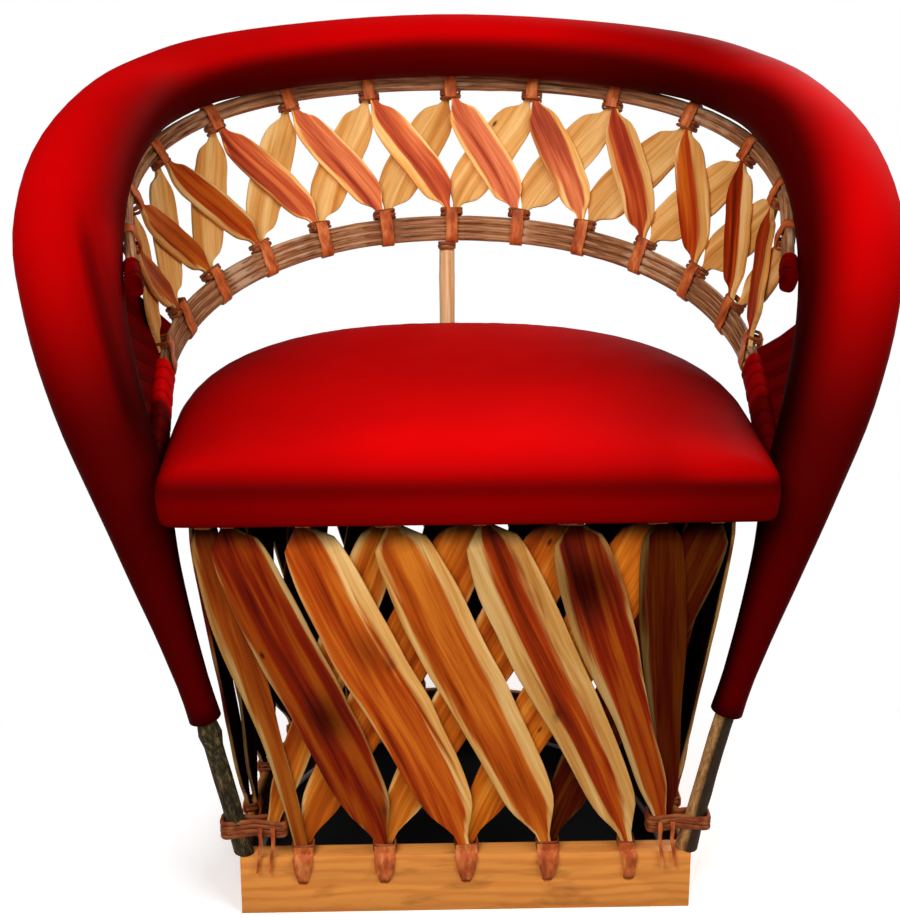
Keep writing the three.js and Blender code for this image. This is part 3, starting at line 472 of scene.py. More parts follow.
PAD_HALF_WIDTH = 0.048
RIM_HALF_WIDTH, RIM_BACK_Y, RIM_BACK_HEIGHT = 0.344, 0.480, 0.708
UPPER_BACK_HEIGHT = RIM_BACK_HEIGHT - PAD_HALF_WIDTH * 0.583 - 0.0129
LOWER_BACK_HEIGHT = 0.528
UPPER_FRONT_HALF_WIDTH, UPPER_HALF_WIDTH = RIM_HALF_WIDTH - PAD_HALF_WIDTH - 0.0135, 0.304
LOWER_FRONT_HALF_WIDTH, LOWER_HALF_WIDTH = 0.262, 0.269
UPPER_FRONT_Y, UPPER_SIDE_Y, UPPER_BACK_Y = 0.115, 0.260, 0.485
LOWER_FRONT_Y, LOWER_SIDE_Y, LOWER_BACK_Y = 0.040, 0.190, 0.430
UPPER_FALL = RIM_BACK_HEIGHT * 0.162 / (UPPER_BACK_Y - UPPER_FRONT_Y)
LOWER_FALL = RIM_BACK_HEIGHT * 0.1763 / (LOWER_BACK_Y - LOWER_FRONT_Y)
upper_course = horseshoe(
    UPPER_FRONT_HALF_WIDTH, UPPER_FRONT_Y, UPPER_HALF_WIDTH, UPPER_SIDE_Y, UPPER_BACK_Y, 2.35,
    lambda y: UPPER_BACK_HEIGHT - UPPER_FALL * (UPPER_BACK_Y - y),
)
lower_course = horseshoe(
    LOWER_FRONT_HALF_WIDTH, LOWER_FRONT_Y, LOWER_HALF_WIDTH, LOWER_SIDE_Y, LOWER_BACK_Y, 2.1,
    lambda y: LOWER_BACK_HEIGHT - LOWER_FALL * (LOWER_BACK_Y - y),
)
UPPER_PITCH, LOWER_PITCH = 0.085, 0.067
back_wall = Wall(
    lambda tie: lower_course.at(0.5 + tie * LOWER_PITCH / lower_course.length),
    lambda tie: upper_course.at(0.5 + tie * UPPER_PITCH / upper_course.length),
)
STRAND_RADIUS = 0.0045
STRAND_STEP = 2 * STRAND_RADIUS * cos(pi / 6) + 0.00045
BACK_TIES = 13


def hoop_station(course, pitch, top, share):
    """The middle of a hoop's bundle at a share of its length, with out and up."""
    tie = (2 * share - 1) * course.length / 2 / pitch
    held = min(max(tie, -(BACK_TIES - 1) / 2), (BACK_TIES - 1) / 2)
    up = back_wall.tie_frame(held, top)[3]
    heading = course.heading(share)
    up = (up - heading * up.dot(heading)).normalized()
    return course.at(share), heading.cross(up).normalized(), up


for course, pitch, top, strands, hoop in (
    (upper_course, UPPER_PITCH, True, 2, "upper_hoop"),
    (lower_course, LOWER_PITCH, False, 3, "lower_hoop"),
):
    for strand in range(strands):
        lift = (strand - (strands - 1) / 2) * STRAND_STEP
        seed = 3 * strand + (10 if top else 0)

        def station(share):
            at, out, up = hoop_station(course, pitch, top, share)
            return at + up * lift, out, up

        twig = shoot(course.length, STRAND_RADIUS, 14, 220)
        lay_shoot(twig, station, course.length, STRAND_RADIUS, seed)
        fix(twig, f"{hoop}_sapling_{strand + 1}", bark, [f"{hoop}_{strand + 1}"], 60)

# Seat ring: a sapling bent into a closed D, lashed to the tops of all the splints.
SKIRT_THICKNESS, STRAP_THICKNESS, BENT_FIT, RING_RADIUS = 0.009, 0.0025, 0.00085, 0.007
STRAP_ROOM, FIT = 0.0016, 0.00035
RING_INSET = SKIRT_THICKNESS + STRAP_THICKNESS + BENT_FIT + STRAP_ROOM + RING_RADIUS
SKIRT_HEIGHT = 0.396
RING_HEIGHT = SKIRT_HEIGHT + 0.020 - 0.0003 - STRAP_THICKNESS - BENT_FIT - 0.0006 - RING_RADIUS
SEAT_HALF_WIDTH, SEAT_OVERHANG, SEAT_SIDE_Y, SEAT_BACK_Y = 0.250, 0.056, 0.085, 0.400


def seat_outline(inset):
    """The D of the seat, drawn in by an inset, from its left front corner round the back."""
    half, front_y = SEAT_HALF_WIDTH - inset, inset - SEAT_OVERHANG
    radius = max(0.014 - inset, 0.0003)
    diagonal = radius * (1 - sqrt(0.5))
    corner = [(half, front_y + radius), (half - diagonal, front_y + diagonal), (half - radius, front_y)]
    plan = [(-x, y) for x, y in reversed(corner)] + [(-half, SEAT_SIDE_Y)]
    plan += bow(half, SEAT_SIDE_Y, SEAT_BACK_Y - inset, 2.4) + [(half, SEAT_SIDE_Y)] + corner
    return [Vector((x, y - DEPTH_SHIFT, 0)) for x, y in plan]


ring_plan = seat_outline(RING_INSET)
ring_plan = [ring_plan[-1].lerp(ring_plan[0], 0.5)] + ring_plan + [ring_plan[-1].lerp(ring_plan[0], 0.5)]
ring_course = Course([point + UP * RING_HEIGHT for point in ring_plan])


def ring_station(share):
    heading = ring_course.heading(share)
    return ring_course.at(share), heading.cross(UP).normalized(), UP


seat_ring = shoot(ring_course.length, RING_RADIUS, 16, 260)
lay_shoot(seat_ring, ring_station, ring_course.length, RING_RADIUS, 31, 0.03)
fix(seat_ring, "seat_ring_sapling", bark, ["seat_ring"], 60)

# Back strut: a peeled stick from the bent band up to the middle of the lower hoop.
peeled, add, grain = grained("peeled_stick")
streak = drawn_out(add, grain, (500, 500, 12), 5)
bruise = drawn_out(add, grain, (60, 60, 14), 3)
cream = tones(add, streak, (0.32, (0.72, 0.36, 0.13)), (0.62, (0.98, 0.64, 0.34)))
skin = blend(add, ranged(add, bruise, 0.56, 0.72, 0, 0.7), cream, (0.42, 0.16, 0.05, 1))
surface(add, skin, (streak, 0.38, 0.6), (streak, 0.4, 0.001))

strut_low, strut_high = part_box("back_strut")
strut_radius = (strut_high[0] - strut_low[0]) / 2
strut_x = (strut_high[0] + strut_low[0]) / 2
strut_foot = Vector((strut_x, strut_low[1] + strut_radius * cos(pi / 6), strut_low[2]))
strut_head = Vector((strut_x, strut_high[1] - strut_radius * cos(pi / 6), strut_high[2]))
strut_head += (strut_head - strut_foot).normalized() * 0.0035
strut_run = strut_head - strut_foot
strut_heading = strut_run.normalized()
strut_side = Vector((1, 0, 0))
strut_up = strut_side.cross(strut_heading)


def strut_station(share):
    return strut_foot + strut_run * share, strut_side, strut_up


strut = shoot(strut_run.length, strut_radius * 0.98, 16, 70)
lay_shoot(strut, strut_station, strut_run.length, strut_radius, 41, 0.05)
fix(strut, "back_strut_stick", peeled, ["back_strut"], 60)

# Splints: cedar split along the grain into thin leaves. Each is shaved down to a
# narrow neck at both ends, where rawhide ties it to its neighbour and to a bar.
SPLINT_THICKNESS = 0.004
LAYER_OFFSET = 0.0035
TIP_FACE = 0.0055
COLLAR_HEIGHT = 0.008


def blank(name, width, thickness, long_cuts, wide_cuts, rounding, segments):
    """A straight strip a metre long, cut finely enough to be bent."""
    bpy.ops.mesh.primitive_cube_add(size=1, location=(0, 0, 0.5))
    piece = bpy.context.object
    piece.name = name
    place(piece, (width, thickness, 1))
    pick(piece, lambda mesh, edge: abs(run(mesh, edge).z) > 0.5)
    bpy.ops.mesh.subdivide(number_cuts=long_cuts)
    pick(piece, lambda mesh, edge: abs(run(mesh, edge).x) > width * 0.5)
    bpy.ops.mesh.subdivide(number_cuts=wide_cuts)
    finish_edit()
    bevel(piece, rounding, segments)
    return piece


def copy_of(master):
    piece = master.copy()
    piece.data = master.data.copy()
    bpy.context.collection.objects.link(piece)
    return piece


LEAF_WIDTH = 0.044
leaf = blank("splint_master", LEAF_WIDTH, SPLINT_THICKNESS, 40, 7, 0.0011, 2)


def eased(share, ease):
    return share + (share * share * (3 - 2 * share) - share) * ease


def between(value, low, high):
    part = min(max((value - low) / (high - low), 0.0), 1.0)
    return part * part * (3 - 2 * part)


def smooth(values, marks, along):
    """A soft line through values that stand at marks."""
    span = min(max(bisect_right(marks, along) - 1, 0), len(marks) - 2)
    width = marks[span + 1] - marks[span]
    part = (along - marks[span]) / width

    def slope(index):
        low, high = max(index - 1, 0), min(index + 1, len(marks) - 1)
        return (values[high] - values[low]) / (marks[high] - marks[low]) * width

    square, cube = part * part, part ** 3
    return (
        values[span] * (2 * cube - 3 * square + 1)
        + slope(span) * (cube - 2 * square + part)
        + values[span + 1] * (3 * square - 2 * cube)
        + slope(span + 1) * (cube - square)
    )


class Splint:
    """One leaf: which ties it joins, its layer, its width and how its ends are cut."""

    def __init__(self, wall, lower_tie, upper_tie, half_width, out, ends, **changes):
        self.wall, self.lower_tie, self.upper_tie, self.half_width = wall, lower_tie, upper_tie, half_width
        self.lower_offset = self.upper_offset = LAYER_OFFSET if out else -LAYER_OFFSET
        self.belly, self.thickness = 1.0, SPLINT_THICKNESS
        for key, value in {**ends, **changes}.items():
            setattr(self, key, value)

    def tie_at(self, rise):
        return self.lower_tie + (self.upper_tie - self.lower_tie) * eased(rise, self.ease)

    def tip(self, top):
        """The flat, straight end: its frame and how far it has shifted at a reach."""
        tie = self.upper_tie if top else self.lower_tie
        frame_at = self.wall.tie_frame(tie, top)
        at, along, _, towards = frame_at
        height = abs(self.wall.slopes(tie, 1 if top else 0)[1].dot(towards))
        start, neck = (self.upper_start, self.upper_neck) if top else (self.lower_start, self.lower_neck)

        def shift(reach):
            rise = 1 - reach / height if top else reach / height
            return (self.wall.point(self.tie_at(rise), rise) - at).dot(along)

        first, last = shift(start), shift(neck)
        neck_rise = 1 - neck / height if top else neck / height
        return frame_at, start, neck, neck_rise, lambda reach: first + (last - first) * (reach - start) / (neck - start)

    def stations(self):
        """Left edge, middle, right edge and outward direction, from the lower tip up."""
        rows = []
        tips = [self.tip(False), self.tip(True)]

        def tip_row(top, which):
            (at, along, out, towards), start, neck, _, shift_at = tips[1 if top else 0]
            reach = (start, neck)[which]
            offset = self.upper_offset if top else self.lower_offset
            centre = at + along * shift_at(reach) + out * offset + towards * reach
            half = self.neck_half_width * (0.94 if which == 0 else 1)
            return centre - along * half, centre, centre + along * half, out

        rows += [tip_row(False, 0), tip_row(False, 1)]
        lower_rise, upper_rise = tips[0][3], tips[1][3]
        lower_belly = self.half_width * self.belly
        halves = (lower_belly * 0.8, lower_belly, self.half_width, self.half_width * 0.8)
        for share, half in zip(self.bellies, halves):
            rise = lower_rise + (upper_rise - lower_rise) * share
            tie = self.tie_at(rise)
            sideways, upward, outward = self.wall.slopes(tie, rise)
            turn = (self.tie_at(rise + 0.02) - self.tie_at(rise - 0.02)) / 0.04
            across = (upward + sideways * turn).cross(outward).normalized()
            if across.dot(sideways) < 0:
                across.negate()
            offset = self.lower_offset + (self.upper_offset - self.lower_offset) * rise
            side_side, side_up, up_up = sideways.dot(sideways), sideways.dot(upward), upward.dot(upward)
            side_across, up_across = sideways.dot(across), upward.dot(across)
            whole = side_side * up_up - side_up * side_up

            def edge(reach):
                tie_step = reach * (side_across * up_up - up_across * side_up) / whole
                rise_step = reach * (up_across * side_side - side_across * side_up) / whole
                normal = self.wall.slopes(tie + tie_step, rise + rise_step)[2]
                return self.wall.point(tie + tie_step, rise + rise_step) + normal * offset

            rows.append((edge(-half), edge(0), edge(half), outward))
        rows += [tip_row(True, 1), tip_row(True, 0)]
        return rows


SPLINT_STEPS = 80
# Heights over which a painted shadow under the seat darkens the base splints.
SEAT_SHADOW = 0.364, 0.385


def lay_splint(splint, name, seed, nodes, wood, knots=(), inward_shade=1.0):
    """Copy the straight leaf, bend it onto its wall and rough it up as split wood.

    The wood is the width of sapwood at its left and at its right, in half widths, how
    bright it is, and how golden (or below zero, rosy) its heart is. A knot is its
    place, size and depth.
    """
    piece = copy_of(leaf)
    on_base = splint.wall is not back_wall
    rows = splint.stations()
    marks = [0.0]
    for before, after in zip(rows, rows[1:]):
        marks.append(marks[-1] + (after[1] - before[1]).length)
    length = marks[-1]
    grain, tint, samples = [], [], []
    for step in range(SPLINT_STEPS + 1):
        along = length * step / SPLINT_STEPS
        samples.append([smooth([row[part] for row in rows], marks, along) for part in range(4)])
    for vertex in piece.data.vertices:
        along = min(max(vertex.co.z, 0.0), 1.0)
        across = vertex.co.x / (LEAF_WIDTH / 2)
        inward = vertex.co.y < -SPLINT_THICKNESS * 0.3
        step = min(int(along * SPLINT_STEPS), SPLINT_STEPS - 1)
        part = along * SPLINT_STEPS - step
        left, centre, right, out = (near.lerp(far, part) for near, far in zip(samples[step], samples[step + 1]))
        out.normalize()
        chord = (right - left) / 2
        bend = (left + right) / 2 - centre
        half = chord.length
        edge_noise = 1 + 0.05 * rough((0, across, along * 9), seed, 1) * (1 if half > 0.01 else 0.3)
        free = min(along, 1 - along) * 12
        wave = 0.0011 * rough((across * 0.8, 0, along * 5), seed + 3, 1) * min(free, 1)
        thick = splint.thickness / SPLINT_THICKNESS * (1 + 0.22 * rough((across, 5, along * 8), seed, 1))
        spot = centre + chord * across * edge_noise + bend * across * across
        vertex.co = spot + out * (vertex.co.y * thick + wave)
        grain.append((across * half, along * length, seed * 0.37))
        left_sap, right_sap, tone, golden = wood
        for knot_across, knot_along, size, depth in knots:
            away = sqrt(((across - knot_across) * half) ** 2 + ((along - knot_along) * length * 0.6) ** 2) / size
            tone *= 1 - depth * max(0.0, 1 - away * away) ** 2
        # Painted shade: faces turned into the chair are darkened by a share.
        if inward:
            tone *= inward_shade
        # Painted shadow: the tops of the base splints darken under the seat's overhang.
        if on_base:
            tone *= 1 - 0.90 * between(spot.z, *SEAT_SHADOW)
        tint.append((max(left_sap - 1 - across, right_sap - 1 + across), tone, golden))
    note(piece, "grain", grain)
    note(piece, "tint", tint)
    fix(piece, name, cedar, nodes, 50)


cedar, add, grain = grained("cleft_cedar")
tint = add("SeparateXYZ", {0: add("Attribute", attribute_name="tint").outputs["Vector"]})
sap_reach, brightness, golden = (tint.outputs[axis] for axis in "XYZ")
broad = drawn_out(add, grain, (85, 4.5, 40), 3, 0.55, 0.4)
streak = drawn_out(add, grain, (420, 9, 50), 4, 0.6)
fibre = drawn_out(add, grain, (1500, 30, 60), 3, 0.7)
figure = add("Mix", {"Factor": 0.24, "A": broad, "B": streak}).outputs["Result"]
heart = tones(add, figure, (0.36, (0.11, 0.004, 0.0008)), (0.62, (0.58, 0.105, 0.006)), (0.49, (0.36, 0.022, 0.002)))
gold = tones(add, figure, (0.36, (0.40, 0.060, 0.003)), (0.64, (0.82, 0.32, 0.035)), (0.5, (0.64, 0.17, 0.010)))
sap = tones(add, figure, (0.36, (0.54, 0.20, 0.035)), (0.64, (0.86, 0.53, 0.20)), (0.5, (0.72, 0.35, 0.09)))
rose = tones(add, figure, (0.36, (0.30, 0.035, 0.012)), (0.64, (0.74, 0.27, 0.12)), (0.5, (0.55, 0.13, 0.045)))
heartwood = blend(add, ranged(add, golden, 0.0, -1.0), blend(add, golden, heart, gold), rose)
wander = calc(add, "MULTIPLY_ADD", broad, 1.1, -0.55)
sapwood = ranged(add, calc(add, "ADD", sap_reach, wander), -0.06, 0.10)
toned = dimmed(add, blend(add, sapwood, heartwood, sap), brightness)
fibrous = dimmed(add, toned, ranged(add, fibre, 0.3, 0.7, 0.86, 1.08))
pins = add("TexVoronoi", {"Vector": add("Mapping", {"Vector": grain, "Scale": (26, 11, 3)}).outputs[0], "Scale": 1.0})
pinned = dimmed(add, fibrous, ranged(add, pins.outputs["Distance"], 0.02, 0.06, 0.12, 1.0))
shine = ranged(add, brightness, 0.08, 0.45, 0, 0.06)
surface(add, pinned, (fibre, 0.34, 0.58), (streak, 0.35, 0.0012), shine)

# Front splints: an outer and an inner layer that lean against each other between
# the plank and the seat ring.
RING_FRONT_Y = RING_INSET - SEAT_OVERHANG
FRONT_UPPER_PITCH, FRONT_UPPER_SHIFT = 0.075, 0.009
front_wall = Wall(
    lambda tie: Vector((FRONT_LOWER_PITCH * tie, BOARD_THICKNESS / 2 - DEPTH_SHIFT, BOARD_HEIGHT)),
    lambda tie: Vector((FRONT_UPPER_PITCH * tie + FRONT_UPPER_SHIFT, RING_FRONT_Y - DEPTH_SHIFT, RING_HEIGHT)),
    -1,
)
RING_NEAR = RING_RADIUS + FIT
base_ends = {
    "neck_half_width": 0.006,
    "ease": 0.35,
    "lower_start": STRAP_ROOM,
    "lower_neck": STRAP_ROOM + 2 * COLLAR_HEIGHT,
    "upper_start": RING_NEAR + FIT,
    "upper_neck": RING_NEAR + 2 * FIT + 1.2 * COLLAR_HEIGHT,
    "bellies": (0.11, 0.34, 0.68, 0.945),
}
CORNER_TIE = 2.45
# INNER_SHADE darkens the inner faces of the front leaves, as painted shade.
FRONT_LEAF, INNER_SHADE = 0.0285, 0.35
corner_start = 0.086 - BOARD_HEIGHT - 0.007
corner_ends = {**base_ends, "lower_start": corner_start, "lower_neck": corner_start + 2 * COLLAR_HEIGHT}
front_splints = []
for layer, rows in (
    ("outer", (
        (-1, -2.8, 0.92, 0.95, (-0.04, 0.04, 0.74, 0.0), ((0.1, 0.42, 0.026, 0.72), (0.75, 0.12, 0.010, 0.5))),
        (0, -2, 1, 0.95, (-0.06, 0.40, 1.34, 0.20), ((0.1, 0.62, 0.022, 0.4), (0.5, 0.57, 0.005, 0.8))),
        (1, -1, 1, 0.9, (0.26, 0.40, 1.25, 0.36), ((-0.62, 0.40, 0.004, 0.8),)),
        (2, 0, 1, 0.85, (0.58, 0.60, 1.08, 0.10), ((-0.55, 0.44, 0.004, 0.8),)),
        (CORNER_TIE, 1, 0.92, 0.6, (0.28, 0.10, 0.80, 0.0), ((-0.1, 0.80, 0.036, 0.82),)),
    )),
    ("inner", (
        (-CORNER_TIE, -1, 0.70, 0.7, (0.2, 0.2, 1.05, 0.6), ()),
        (-2, 0, 0.95, 0.8, (0.0, 0.05, 1.15, 0.55), ()),
        (-1, 1, 0.95, 0.8, (0.0, 0.05, 1.2, 0.6), ()),
        (0, 2, 0.95, 0.8, (0.0, 0.05, 1.25, 0.8), ()),
        (1, 2.65, 0.85, 0.9, (0.0, 0.1, 0.19, 0.05), ()),
    )),
):
    for index, (lower_tie, upper_tie, wide, belly, colours, knots) in enumerate(rows):
        ends = corner_ends if abs(lower_tie) == CORNER_TIE else base_ends
        splint = Splint(front_wall, lower_tie, upper_tie, FRONT_LEAF * wide, layer == "outer", ends, belly=belly)
        front_splints.append(splint)
        name = f"front_splint_{layer}_{index + 1}"
        lay_splint(splint, name + "_leaf", len(front_splints), [name], colours, knots, INNER_SHADE)

# Two thinner leaves slip between the layers, one at the right corner and one at the left.
between_layers = {"belly": 0.7, "lower_offset": 0, "upper_offset": 0, "thickness": 0.002}
behind_layers = {"belly": 0.5, "upper_offset": -LAYER_OFFSET, "thickness": 0.003}
middle_splint = Splint(front_wall, CORNER_TIE, 2, FRONT_LEAF * 0.7, True, corner_ends, **between_layers)
side_splint = Splint(front_wall, -2, -3.05, FRONT_LEAF * 0.62, True, base_ends, **behind_layers)
front_splints += [middle_splint, side_splint]
middle_wood, side_wood = (0.26, -0.2, 0.20, 0.0), (0.34, -0.1, 0.72, 0.35)
lay_splint(middle_splint, "front_splint_middle_leaf", 12, ["front_splint_middle"], middle_wood, (), INNER_SHADE)
lay_splint(side_splint, "front_splint_side_leaf", 13, [], side_wood, (), INNER_SHADE)

# Side and rear splints: pairs that share their lower tie on the bent band and
# spread to the seat ring.
ring_half_width = SEAT_HALF_WIDTH - RING_INSET
ring_back_y = SEAT_BACK_Y - RING_INSET
ring_rear = horseshoe(
    ring_half_width, RING_FRONT_Y + 0.014, ring_half_width, SEAT_SIDE_Y, ring_back_y, 2.4, lambda y: RING_HEIGHT
)
# REAR_SHADE darkens the inner faces of the side and rear leaves nearly to black, as painted shade.
REAR_PAIRS, REAR_LEAF, REAR_SHADE = 10, 0.029, 0.045
rear_wall = Wall(
    lambda tie: band_course.at(0.5 + tie / (REAR_PAIRS + 1)),
    lambda tie: ring_rear.at(0.5 + tie / (REAR_PAIRS + 1)),
)
last_tie = (REAR_PAIRS + 1) / 2 - 0.25
rear_splints = []
for pair in range(REAR_PAIRS):
    tie = pair - (REAR_PAIRS - 1) / 2
    outer = Splint(rear_wall, tie, max(tie - 1, -last_tie), REAR_LEAF, True, base_ends)
    inner = Splint(rear_wall, tie, min(tie + 1, last_tie), REAR_LEAF, False, base_ends)
    rear_splints += [outer, inner]
    chance = (pair * 0.618) % 1, (pair * 0.414 + 0.3) % 1
    outer_wood = (0.6 * chance[0], 0.6 * chance[1], 0.85 + 0.2 * chance[1], chance[0] * 0.7)
    inner_wood = (0.5 * chance[1], 0.5 * (1 - chance[0]), 0.85 + 0.2 * chance[0], chance[1] * 0.7)
    name, node = f"rear_splint_{pair + 1}", f"rear_splint_pair_{pair + 1}"
    lay_splint(outer, name + "_outer", 21 + 2 * pair, [node], outer_wood, (), REAR_SHADE)
    lay_splint(inner, name + "_inner", 24 + 2 * pair, [], inner_wood, (), REAR_SHADE)

# Back splints: shorter leaves crossed between the two hoops, all round the back.
LOWER_NEAR = STRAND_RADIUS * cos(pi / 6) + STRAND_STEP + FIT
UPPER_NEAR = STRAND_RADIUS * cos(pi / 6) + STRAND_STEP / 2 + FIT
back_ends = {
    "neck_half_width": 0.0045,
    "ease": 0.8,
    "lower_start": LOWER_NEAR + FIT,
    "lower_neck": LOWER_NEAR + 1.5 * COLLAR_HEIGHT,
    "upper_start": UPPER_NEAR + FIT,
    "upper_neck": UPPER_NEAR + 1.5 * COLLAR_HEIGHT,
    "bellies": (0.13, 0.35, 0.65, 0.87),
}
BACK_LEAF = 0.019
back_splints = []
for index, (front_wide, rear_wide, front_wood) in enumerate((
    (0.88, 0.95, (0.35, 0.0, 0.95, 0.30)),
    (0.88, 0.95, (0.45, 0.0, 1.00, 0.35)),
    (0.88, 0.95, (0.30, 0.1, 0.95, 0.10)),
    (0.88, 0.97, (0.20, 0.15, 1.35, -0.35)),
    (0.90, 1.00, (0.25, 0.05, 1.45, -0.60)),
    (0.93, 1.08, (0.50, 0.0, 1.50, -0.45)),
    (0.94, 1.12, (0.25, 0.1, 1.50, -0.85)),
    (0.92, 1.12, (0.30, 0.4, 1.35, -0.55)),
    (0.92, 1.20, (0.15, 0.5, 1.15, -0.10)),
    (0.90, 1.26, (0.05, 0.75, 1.15, 0.05)),
    (0.90, 1.30, (0.0, 0.7, 1.15, 0.05)),
    (0.90, 1.26, (0.0, 0.6, 1.15, 0.05)),
)):
    tie = index - (BACK_TIES - 1) / 2
    falling = Splint(back_wall, tie + 1, tie, BACK_LEAF * front_wide, False, back_ends)
    rising = Splint(back_wall, tie, tie + 1, BACK_LEAF * rear_wide, True, back_ends)
    back_splints += [falling, rising]
    chance = (index * 0.618 + 0.2) % 1
    rear_wood = (2, 2, 1.05 + 0.15 * chance, 1)
    name = f"back_splint_{index + 1}"
    lay_splint(falling, name + "_front", 40 + 3 * index, [f"back_splint_front_{index + 1}"], front_wood)
    lay_splint(rising, name + "_rear", 41 + 3 * index, [f"back_splint_rear_{index + 1}"], rear_wood)
bpy.data.objects.remove(leaf)

# Rawhide ties: each is a strip of wet hide looped over its bar and wound three
# times round the necks of the splints, where it dries hard.
rawhide, add, grain = grained("dried_rawhide")
mottle = drawn_out(add, grain, (120, 45, 1), 5, 0.65)
hair = drawn_out(add, grain, (700, 60, 1), 3)
hide = tones(add, mottle, (0.30, (0.20, 0.028, 0.010)), (0.68, (0.80, 0.27, 0.075)), (0.5, (0.56, 0.11, 0.022)))
# Wound turns are made darker than the flat straps.
turn_mark = add("SeparateXYZ", {0: grain}).outputs["Z"]
darker = dimmed(add, hide, ranged(add, turn_mark, 0, 1, 1.0, 0.30))
surface(add, darker, (hair, 0.35, 0.6), (hair, 0.35, 0.0008))

STRIP_WIDTH = 0.010
strip = blank("strip_master", STRIP_WIDTH, 0.0018, 30, 2, 0.0004, 1)
TURN_MINOR = 0.2
bpy.ops.mesh.primitive_torus_add(major_segments=32, minor_segments=8, major_radius=1, minor_radius=TURN_MINOR)
turn = bpy.context.object
place(turn)
turn.name = "turn_master"


def lay_strip(points, widths, side, seed):
    """Lay a strip of hide along points, with its width across the side direction."""
    piece = copy_of(strip)
    course = Course(points)
    grain = []
    for vertex in piece.data.vertices:
        share = min(max(vertex.co.z, 0.0), 1.0)
        heading = course.heading(share)
        across = (side - heading * side.dot(heading)).normalized()
        lift = heading.cross(across)
        reach = share * (len(widths) - 1)
        step = min(int(reach), len(widths) - 2)
        width = widths[step] + (widths[step + 1] - widths[step]) * (reach - step)
        width *= 1 + 0.10 * rough((share * 6, 0, vertex.co.x * 40), seed, 1)
        sideways = vertex.co.x / STRIP_WIDTH * width
        grain.append((sideways + seed * 0.03, share * course.length + seed * 0.11, 0))
        curl = 0.0004 * rough((share * 9, vertex.co.x * 90, 0), seed + 7, 1)
        vertex.co = course.at(share) + across * sideways + lift * (vertex.co.y + curl)
    note(piece, "grain", grain)
    return piece


def lay_turn(centre, along, out, towards, half_width, half_depth, seed, height=0.0034, thickness=0.0017, pinch=0.0):
    """Bend one turn of hide into a rounded box round a bundle.

    A pinch draws it in between its two ends.
    """
    piece = copy_of(turn)
    grain = []
    for vertex in piece.data.vertices:
        flat = Vector((vertex.co.x, vertex.co.y, 0))
        reach = flat.length
        cosine, sine = flat.x / reach, flat.y / reach
        x = copysign(abs(cosine) ** 0.45, cosine)
        y = copysign(abs(sine) ** 0.45, sine)
        grow = (reach - 1) / TURN_MINOR * thickness / 2
        rise = vertex.co.z / TURN_MINOR * height / 2
        tilt = 0.0009 * (x * cos(seed * 2.4) + y * sin(seed * 2.4))
        swell = 1 + 0.35 * rough((cosine * 1.5, sine * 1.5, 0), seed, 1)
        depth = half_depth * (1 - pinch * (1 - x * x) ** 2)
        spot = along * (x * (half_width + grow * swell) + grow * cosine * 0.3)
        spot += out * (y * (depth + grow * swell) + grow * sine * 0.3)
        vertex.co = centre + spot + towards * (rise + tilt)
        grain.append((rise + seed * 0.05, (cosine + 1) * half_width * 2 + seed * 0.07, 0.8))
    note(piece, "grain", grain)
    return piece


def join(pieces, name, finish):
    """Join the strips of one tie and fix them."""
    bpy.ops.object.select_all(action="DESELECT")
    for piece in pieces:
        piece.select_set(True)
    bpy.context.view_layer.objects.active = pieces[0]
    bpy.ops.object.join()
    fix(pieces[0], name, finish, (), 50)


def bind(name, wall, tie, top, bar, splints, width, seed):
    """Tie the necks that meet at one place to their bar.

    A bar is half its thickness, where a collar may start, how far a strap reaches
    round it, and whether it is an upright board with a hole for the strap.
    """
    at, along, out, towards = wall.tie_frame(tie, top)
    half_bar, near, far, board = bar
    low = near + 2 * FIT
    high = low + COLLAR_HEIGHT
    shifts = [splint.tip(top)[4](high) for splint in splints]
    middle = (min(shifts) + max(shifts)) / 2
    half_width = (max(shifts) - min(shifts)) / 2 + splints[0].neck_half_width + 0.0007
    depth = TIP_FACE + 0.0006
    pieces = []
    for step in range(3):
        reach = low + COLLAR_HEIGHT * (step + 0.5) / 3
        centre = at + along * middle + towards * reach
        pieces.append(lay_turn(centre, along, out, towards, half_width, depth, seed + step * 1.7))
    bar_out, bar_towards = out, towards
    if board:
        bar_towards = Vector((0, 0, -1 if top else 1))
        bar_out = bar_towards.cross(along).normalized()
        if bar_out.dot(out) < 0:
            bar_out.negate()
    reach_out, far = half_bar + 0.0021, far + 0.0019
    shift = along * middle
    bar_shift = shift * (0 if board else 0.5)
    tucked = (depth + 0.0012, high - 0.001), (depth + 0.0020, low)
    head = [at + shift + out * away + towards * reach for away, reach in tucked]
    heel = [at + shift - out * away + towards * reach for away, reach in reversed(tucked)]
    if board:
        loop = [bar_out * away - bar_towards * deep for away, deep in (
            (reach_out, 0.001),
            (reach_out, far * 0.55),
            (reach_out - 0.0012, far - 0.0012),
            (reach_out * 0.5, far + 0.0002),
            (reach_out * -0.5, far + 0.0002),
            (0.0012 - reach_out, far - 0.0012),
            (-reach_out, far * 0.55),
            (-reach_out, 0.001),
        )]
        flared = (2 * half_width, 2 * half_width, 1.7 * half_width)
        widths = (*flared, width, width, width, width, *flared[:0:-1])
    else:
        loop = []
        for step in range(9):
            angle = pi * step / 8
            loop.append(bar_out * (reach_out * cos(angle)) - bar_towards * (far * sin(angle) ** 0.6))
        widths = (0.9 * width, width, width, 1.05 * width, width, width, 0.9 * width)
    points = head + [at + bar_shift + step for step in loop] + heel
    pieces.append(lay_strip(points, widths, along, seed))
    join(pieces, name, rawhide)


